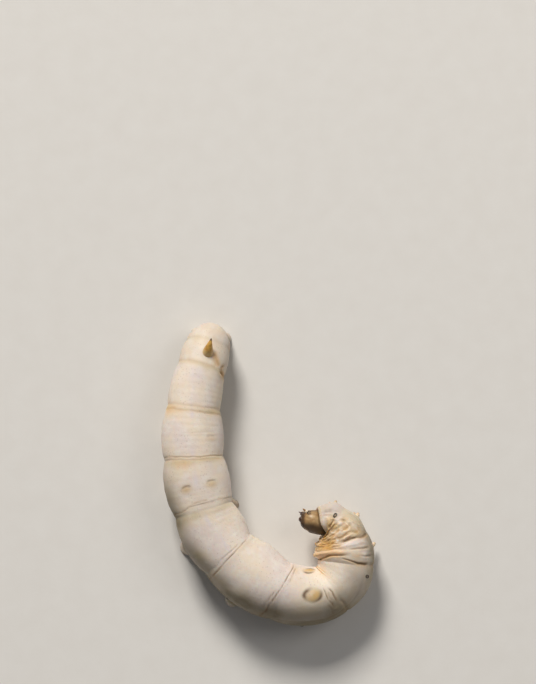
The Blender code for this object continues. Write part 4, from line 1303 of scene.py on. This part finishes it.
def leg_finish():
    made = Finish("leg", 0.42, Subsurface_Weight=0.18, Subsurface_Scale=0.0005, IOR=1.45)
    pale = made.clouds(0.5, 3.0, 0.38, 0.64, (228, 208, 178), (206, 178, 142))
    made.give("Base Color", made.painted(pale, ("pinch", 0.55, (164, 124, 82)),
                                         ("tip", 0.55, (176, 132, 84))))
    made.give("Normal", made.bump(made.noise(0.16, 3.0), 0.015, 0.7))
    return made.material


LEG_SKIN = leg_finish()
# Points on a leg's path, where the leg ends on it, where the claw starts, points round the leg.
LEG_RINGS, LEG_CUT, CLAW_START, LEG_SECTORS = 60, 57, 54, 28
UNDER_SKIN = 0.75                          # mm that the path starts below the leg's root
place = np.linspace(0, 0.95, LEG_RINGS)
share = np.repeat(place[:LEG_CUT], LEG_SECTORS)
pinch = sum(bell(share, joint, 0.03) for joint in LEG_JOINTS).clip(0, 1)
LEG_MASKS = {"pinch": with_poles(0.0, pinch, 0.0),
             "tip": with_poles(0.0, rise(share, 0.60, 0.3), 1.0)}
claws = []
for segment, side, t, degrees, radius, (step_ahead, step_out, step_down) in LEGS:
    s, angle = at(segment, t), np.radians(signed(side, degrees))
    normal = skin_normal(s, angle)
    root = skin(s, angle) + CLEAR * normal
    ahead, out = plan_axes(s, root)
    tip = root + ahead * step_ahead + out * step_out - UPWARD * step_down
    inner = root - UNDER_SKIN * normal
    knee = (inner + tip) / 2 + 0.16 * unit(out + 0.6 * normal)
    path = bend([inner, knee, tip], LEG_RINGS)
    thick = 1.12 * radius * cubic(LEG_PLACE, LEG_THICK, np.minimum(place, LEG_PLACE[-1]))
    limb = tube(path[:LEG_CUT], thick[:LEG_CUT], LEG_SECTORS)
    piece(f"true_leg_{segment}_{side}", [limb], LEG_SKIN, [f"leg_{segment}_{side}"],
          LEG_MASKS)
    root, run = path[CLAW_START], unit(path[-1] - path[-6])
    hook = bend([root, root + 0.22 * run, tip + 0.10 * run - 0.08 * out], 14)
    claws.append(tube(hook, radius * np.linspace(0.26, 0.05, 14), 16))
piece("claws", claws, CLAW_SHELL)
print("legs:", len(LEGS))

# %% [markdown]
# ## The tail horn
#
# A short soft spike stands on the eighth abdominal segment and leans to the rear. It is amber
# brown with a darker tip, and its base spreads smoothly onto the back.

# %% Horn
HORN_S, HORN_ANGLE = at("abdomen_8", 0.50), np.radians(-5)
HORN_RINGS, HORN_SECTORS, HORN_WAVES = 56, 40, 13
HORN_SHARE = np.array([0.0, 0.12, 0.22, 0.34, 0.50, 0.68, 0.84, 0.94, 1.0])
HORN_RADII = np.array([0.84, 0.76, 0.70, 0.63, 0.52, 0.38, 0.23, 0.14, 0.07])
horn_forward, _, horn_back = section(HORN_S)
horn_base = skin(HORN_S, HORN_ANGLE) + CLEAR * skin_normal(HORN_S, HORN_ANGLE)
horn_path = bend([horn_base - 0.60 * horn_back + 0.10 * horn_forward,
                  horn_base + 0.75 * horn_back - 0.25 * horn_forward,
                  horn_base + 1.35 * horn_back - 1.50 * horn_forward], HORN_RINGS)
share = np.linspace(0, 1, HORN_RINGS)
horn_radius = (cubic(HORN_SHARE, HORN_RADII, share)
               * (1 + 0.030 * np.cos(2 * np.pi * share * HORN_WAVES)))


def horn_finish():
    made = Finish("horn", 0.40, Subsurface_Weight=0.15, Subsurface_Scale=0.0005, IOR=1.5,
                  Coat_Weight=0.10, Coat_Roughness=0.3)
    amber = made.clouds(0.45, 3.0, 0.36, 0.66, (204, 160, 78), (180, 132, 56))
    made.give("Base Color", made.painted(amber, ("root", 0.85, (220, 188, 134)),
                                         ("point", 0.92, (46, 30, 18))))
    made.give("Normal", made.bump(made.noise(0.14, 3.0), 0.02, 0.8))
    return made.material


share = np.repeat(share, HORN_SECTORS)
piece("horn", [tube(horn_path, horn_radius, HORN_SECTORS)], horn_finish(), ["tail_horn"],
      {"root": with_poles(1.0, fall(share, 0.12, 0.36), 0.0),
       "point": with_poles(0.0, rise(share, 0.82, 0.14), 1.0)})
print("horn:", round(float(np.linalg.norm(horn_path[-1] - horn_base)), 1), "mm long")

# %% [markdown]
# ## Breathing holes
#
# A row of spiracles runs along each flank: small upright ovals with a black rim and a paler
# sieve plate inside. Each is a stack of ovals that climbs over the rim and sinks to the plate.
# The ovals are laid out in the skin's own addresses, so they follow the body's curve.

# %% Eighteen spiracles
# Segment, place along it, angle on either side of the back's midline.
SPIRACLES = ([("abdomen_8", 0.55, 109)] + [(f"abdomen_{k}", 0.42, 109) for k in (7, 6, 5, 4, 3)]
             + [("abdomen_2", 0.42, 124), ("abdomen_1", 0.77, 98), ("prothorax", 0.25, 103)])
HALF_LONG, HALF_TALL, OVAL_POINTS = 0.23, 0.34, 28
# From the outside in: each oval's share of the half sizes and its height above the skin in mm.
OVAL_SHARE = np.array([1.25, 1.12, 0.98, 0.84, 0.78, 0.55, 0.25])[:, None]
OVAL_HEIGHT = np.array([-0.07, 0.065, 0.085, 0.060, 0.025, 0.030, 0.035])[:, None, None]
on_plate = np.clip(1 - (OVAL_SHARE - 0.55) / 0.18, 0, 1)
PLATE_MASK = with_poles(0.0, np.repeat(on_plate, OVAL_POINTS), 1.0)


def spiracle(s, degrees):
    """skin(s + x, angle + y) + height * normal, where x and y are the cosine and the sine of each
    oval in mm, turned into steps along the body and round it."""
    angle = np.radians(degrees)
    per_s, per_angle = (np.linalg.norm(step) for step in skin_steps(s, angle))
    middle, normal = skin(s, angle), skin_normal(s, angle)
    q = 2 * np.pi * np.arange(OVAL_POINTS)[None, :] / OVAL_POINTS
    rows = skin(s + OVAL_SHARE * HALF_LONG * np.cos(q) / per_s,
                angle + OVAL_SHARE * HALF_TALL * np.sin(q) / per_angle)
    return shell(rows + OVAL_HEIGHT * normal, middle - 0.15 * normal, middle + 0.035 * normal)


def spiracle_finish():
    made = Finish("spiracle", 0.32, IOR=1.5, Coat_Weight=0.15, Coat_Roughness=0.2)
    rim = made.clouds(0.12, 2.0, 0.4, 0.6, (42, 32, 22), (66, 50, 34))
    plate = made.clouds(0.10, 2.0, 0.4, 0.6, (150, 130, 108), (112, 92, 70))
    made.give("Base Color", made.mix(made.mask("plate"), rim, plate))
    made.give("Normal", made.bump(made.noise(0.08, 2.0), 0.01, 0.6))
    return made.material


holes = [spiracle(at(segment, t), sense * degrees)
         for segment, t, degrees in SPIRACLES for sense in (1, -1)]
piece("spiracles", holes, spiracle_finish(), (),
      {"plate": np.tile(PLATE_MASK, len(holes))})
print("spiracles:", len(holes))

# %% [markdown]
# ## Floor, light and camera
#
# The larva is shown as a museum model on a plain pale surface. One broad soft light stands far
# beyond the top of the view, a little to the left, and a much weaker one at the right fills the
# shadows, with a dim sky all round. The camera looks down from 0.4 m, almost upright, with a
# long lens, which shows the plan of the body almost without perspective.

# %% Floor
FLOOR_HALF, FLOOR_STEPS = 2400.0, 25       # mm, and points on each side
FLOOR_DROP = 0.02                          # mm under the soles
line = np.linspace(-FLOOR_HALF, FLOOR_HALF, FLOOR_STEPS)
floor_x, floor_y = np.meshgrid(line, line, indexing="ij")
floor_points = np.stack([floor_x, floor_y, 0 * floor_x - FLOOR_DROP], axis=-1) * MM
corner = (np.arange(FLOOR_STEPS - 1)[:, None] * FLOOR_STEPS + np.arange(FLOOR_STEPS - 1)).ravel()
floor_quads = corner[:, None] + np.array([0, FLOOR_STEPS, FLOOR_STEPS + 1, 1])
floor_mesh = bpy.data.meshes.new("floor")
floor_mesh.from_pydata(floor_points.reshape(-1, 3).tolist(), [], floor_quads.tolist())
floor = bpy.data.objects.new("floor", floor_mesh)
bpy.context.scene.collection.objects.link(floor)
paper = Finish("paper", 0.85, Specular_IOR_Level=0.2)
paper.give("Base Color", paper.mix(paper.noise(3.0, 3.0), (220, 216, 210), (226, 223, 218)))
paper.give("Normal", paper.bump(paper.noise(0.5, 3.0), 0.02, 0.3))
floor_mesh.materials.append(paper.material)
print("floor:", 2 * FLOOR_HALF, "mm square")


# %% Lights and sky
def soft_light(name, place_mm, aim_mm, size_mm, power, colour):
    """A square area light at a place, turned to face another place."""
    data = bpy.data.lights.new(name, "AREA")
    data.size = size_mm * MM
    data.energy = power
    data.color = colour
    lamp = bpy.data.objects.new(name, data)
    lamp.location = Vector(place_mm) * MM
    lamp.rotation_euler = (Vector(aim_mm) - Vector(place_mm)).to_track_quat("-Z", "Y").to_euler()
    bpy.context.scene.collection.objects.link(lamp)


MIDDLE = (0.0, 0.0, 4.0)
soft_light("key_light", (-350, 1110, 900), MIDDLE, 420, 22.5, (1.0, 0.97, 0.925))
soft_light("fill_light", (380, 180, 500), MIDDLE, 320, 0.62, (1.0, 0.98, 0.95))
world = bpy.data.worlds.new("studio")
world.use_nodes = True
sky = world.node_tree.nodes["Background"].inputs
sky["Color"].default_value = (0.95, 0.96, 1.0, 1.0)
sky["Strength"].default_value = 0.15
bpy.context.scene.world = world
bpy.context.scene.view_settings.view_transform = "Standard"

# %% Camera
CAMERA_PLACE, CAMERA_AIM = Vector((-0.168, -0.273, 400.0)), Vector((-0.168, 19.527, 5.5))
LENS, SENSOR = 140.1, 36.0                 # mm, the sensor along the picture's long side
lens = bpy.data.cameras.new("camera")
lens.lens = LENS
lens.sensor_width = SENSOR
lens.clip_start, lens.clip_end = 0.01, 10.0
camera = bpy.data.objects.new("camera", lens)
view_back = (CAMERA_PLACE - CAMERA_AIM).normalized()
view_right = Vector((0.0, 1.0, 0.0)).cross(view_back).normalized()
view_up = view_back.cross(view_right)
camera.matrix_world = Matrix.Translation(CAMERA_PLACE * MM) @ Matrix(
    (view_right, view_up, view_back)).transposed().to_4x4()
bpy.context.scene.collection.objects.link(camera)
bpy.context.scene.camera = camera
print("camera:", LENS, "mm lens,", round(CAMERA_PLACE.z), "mm above the floor")
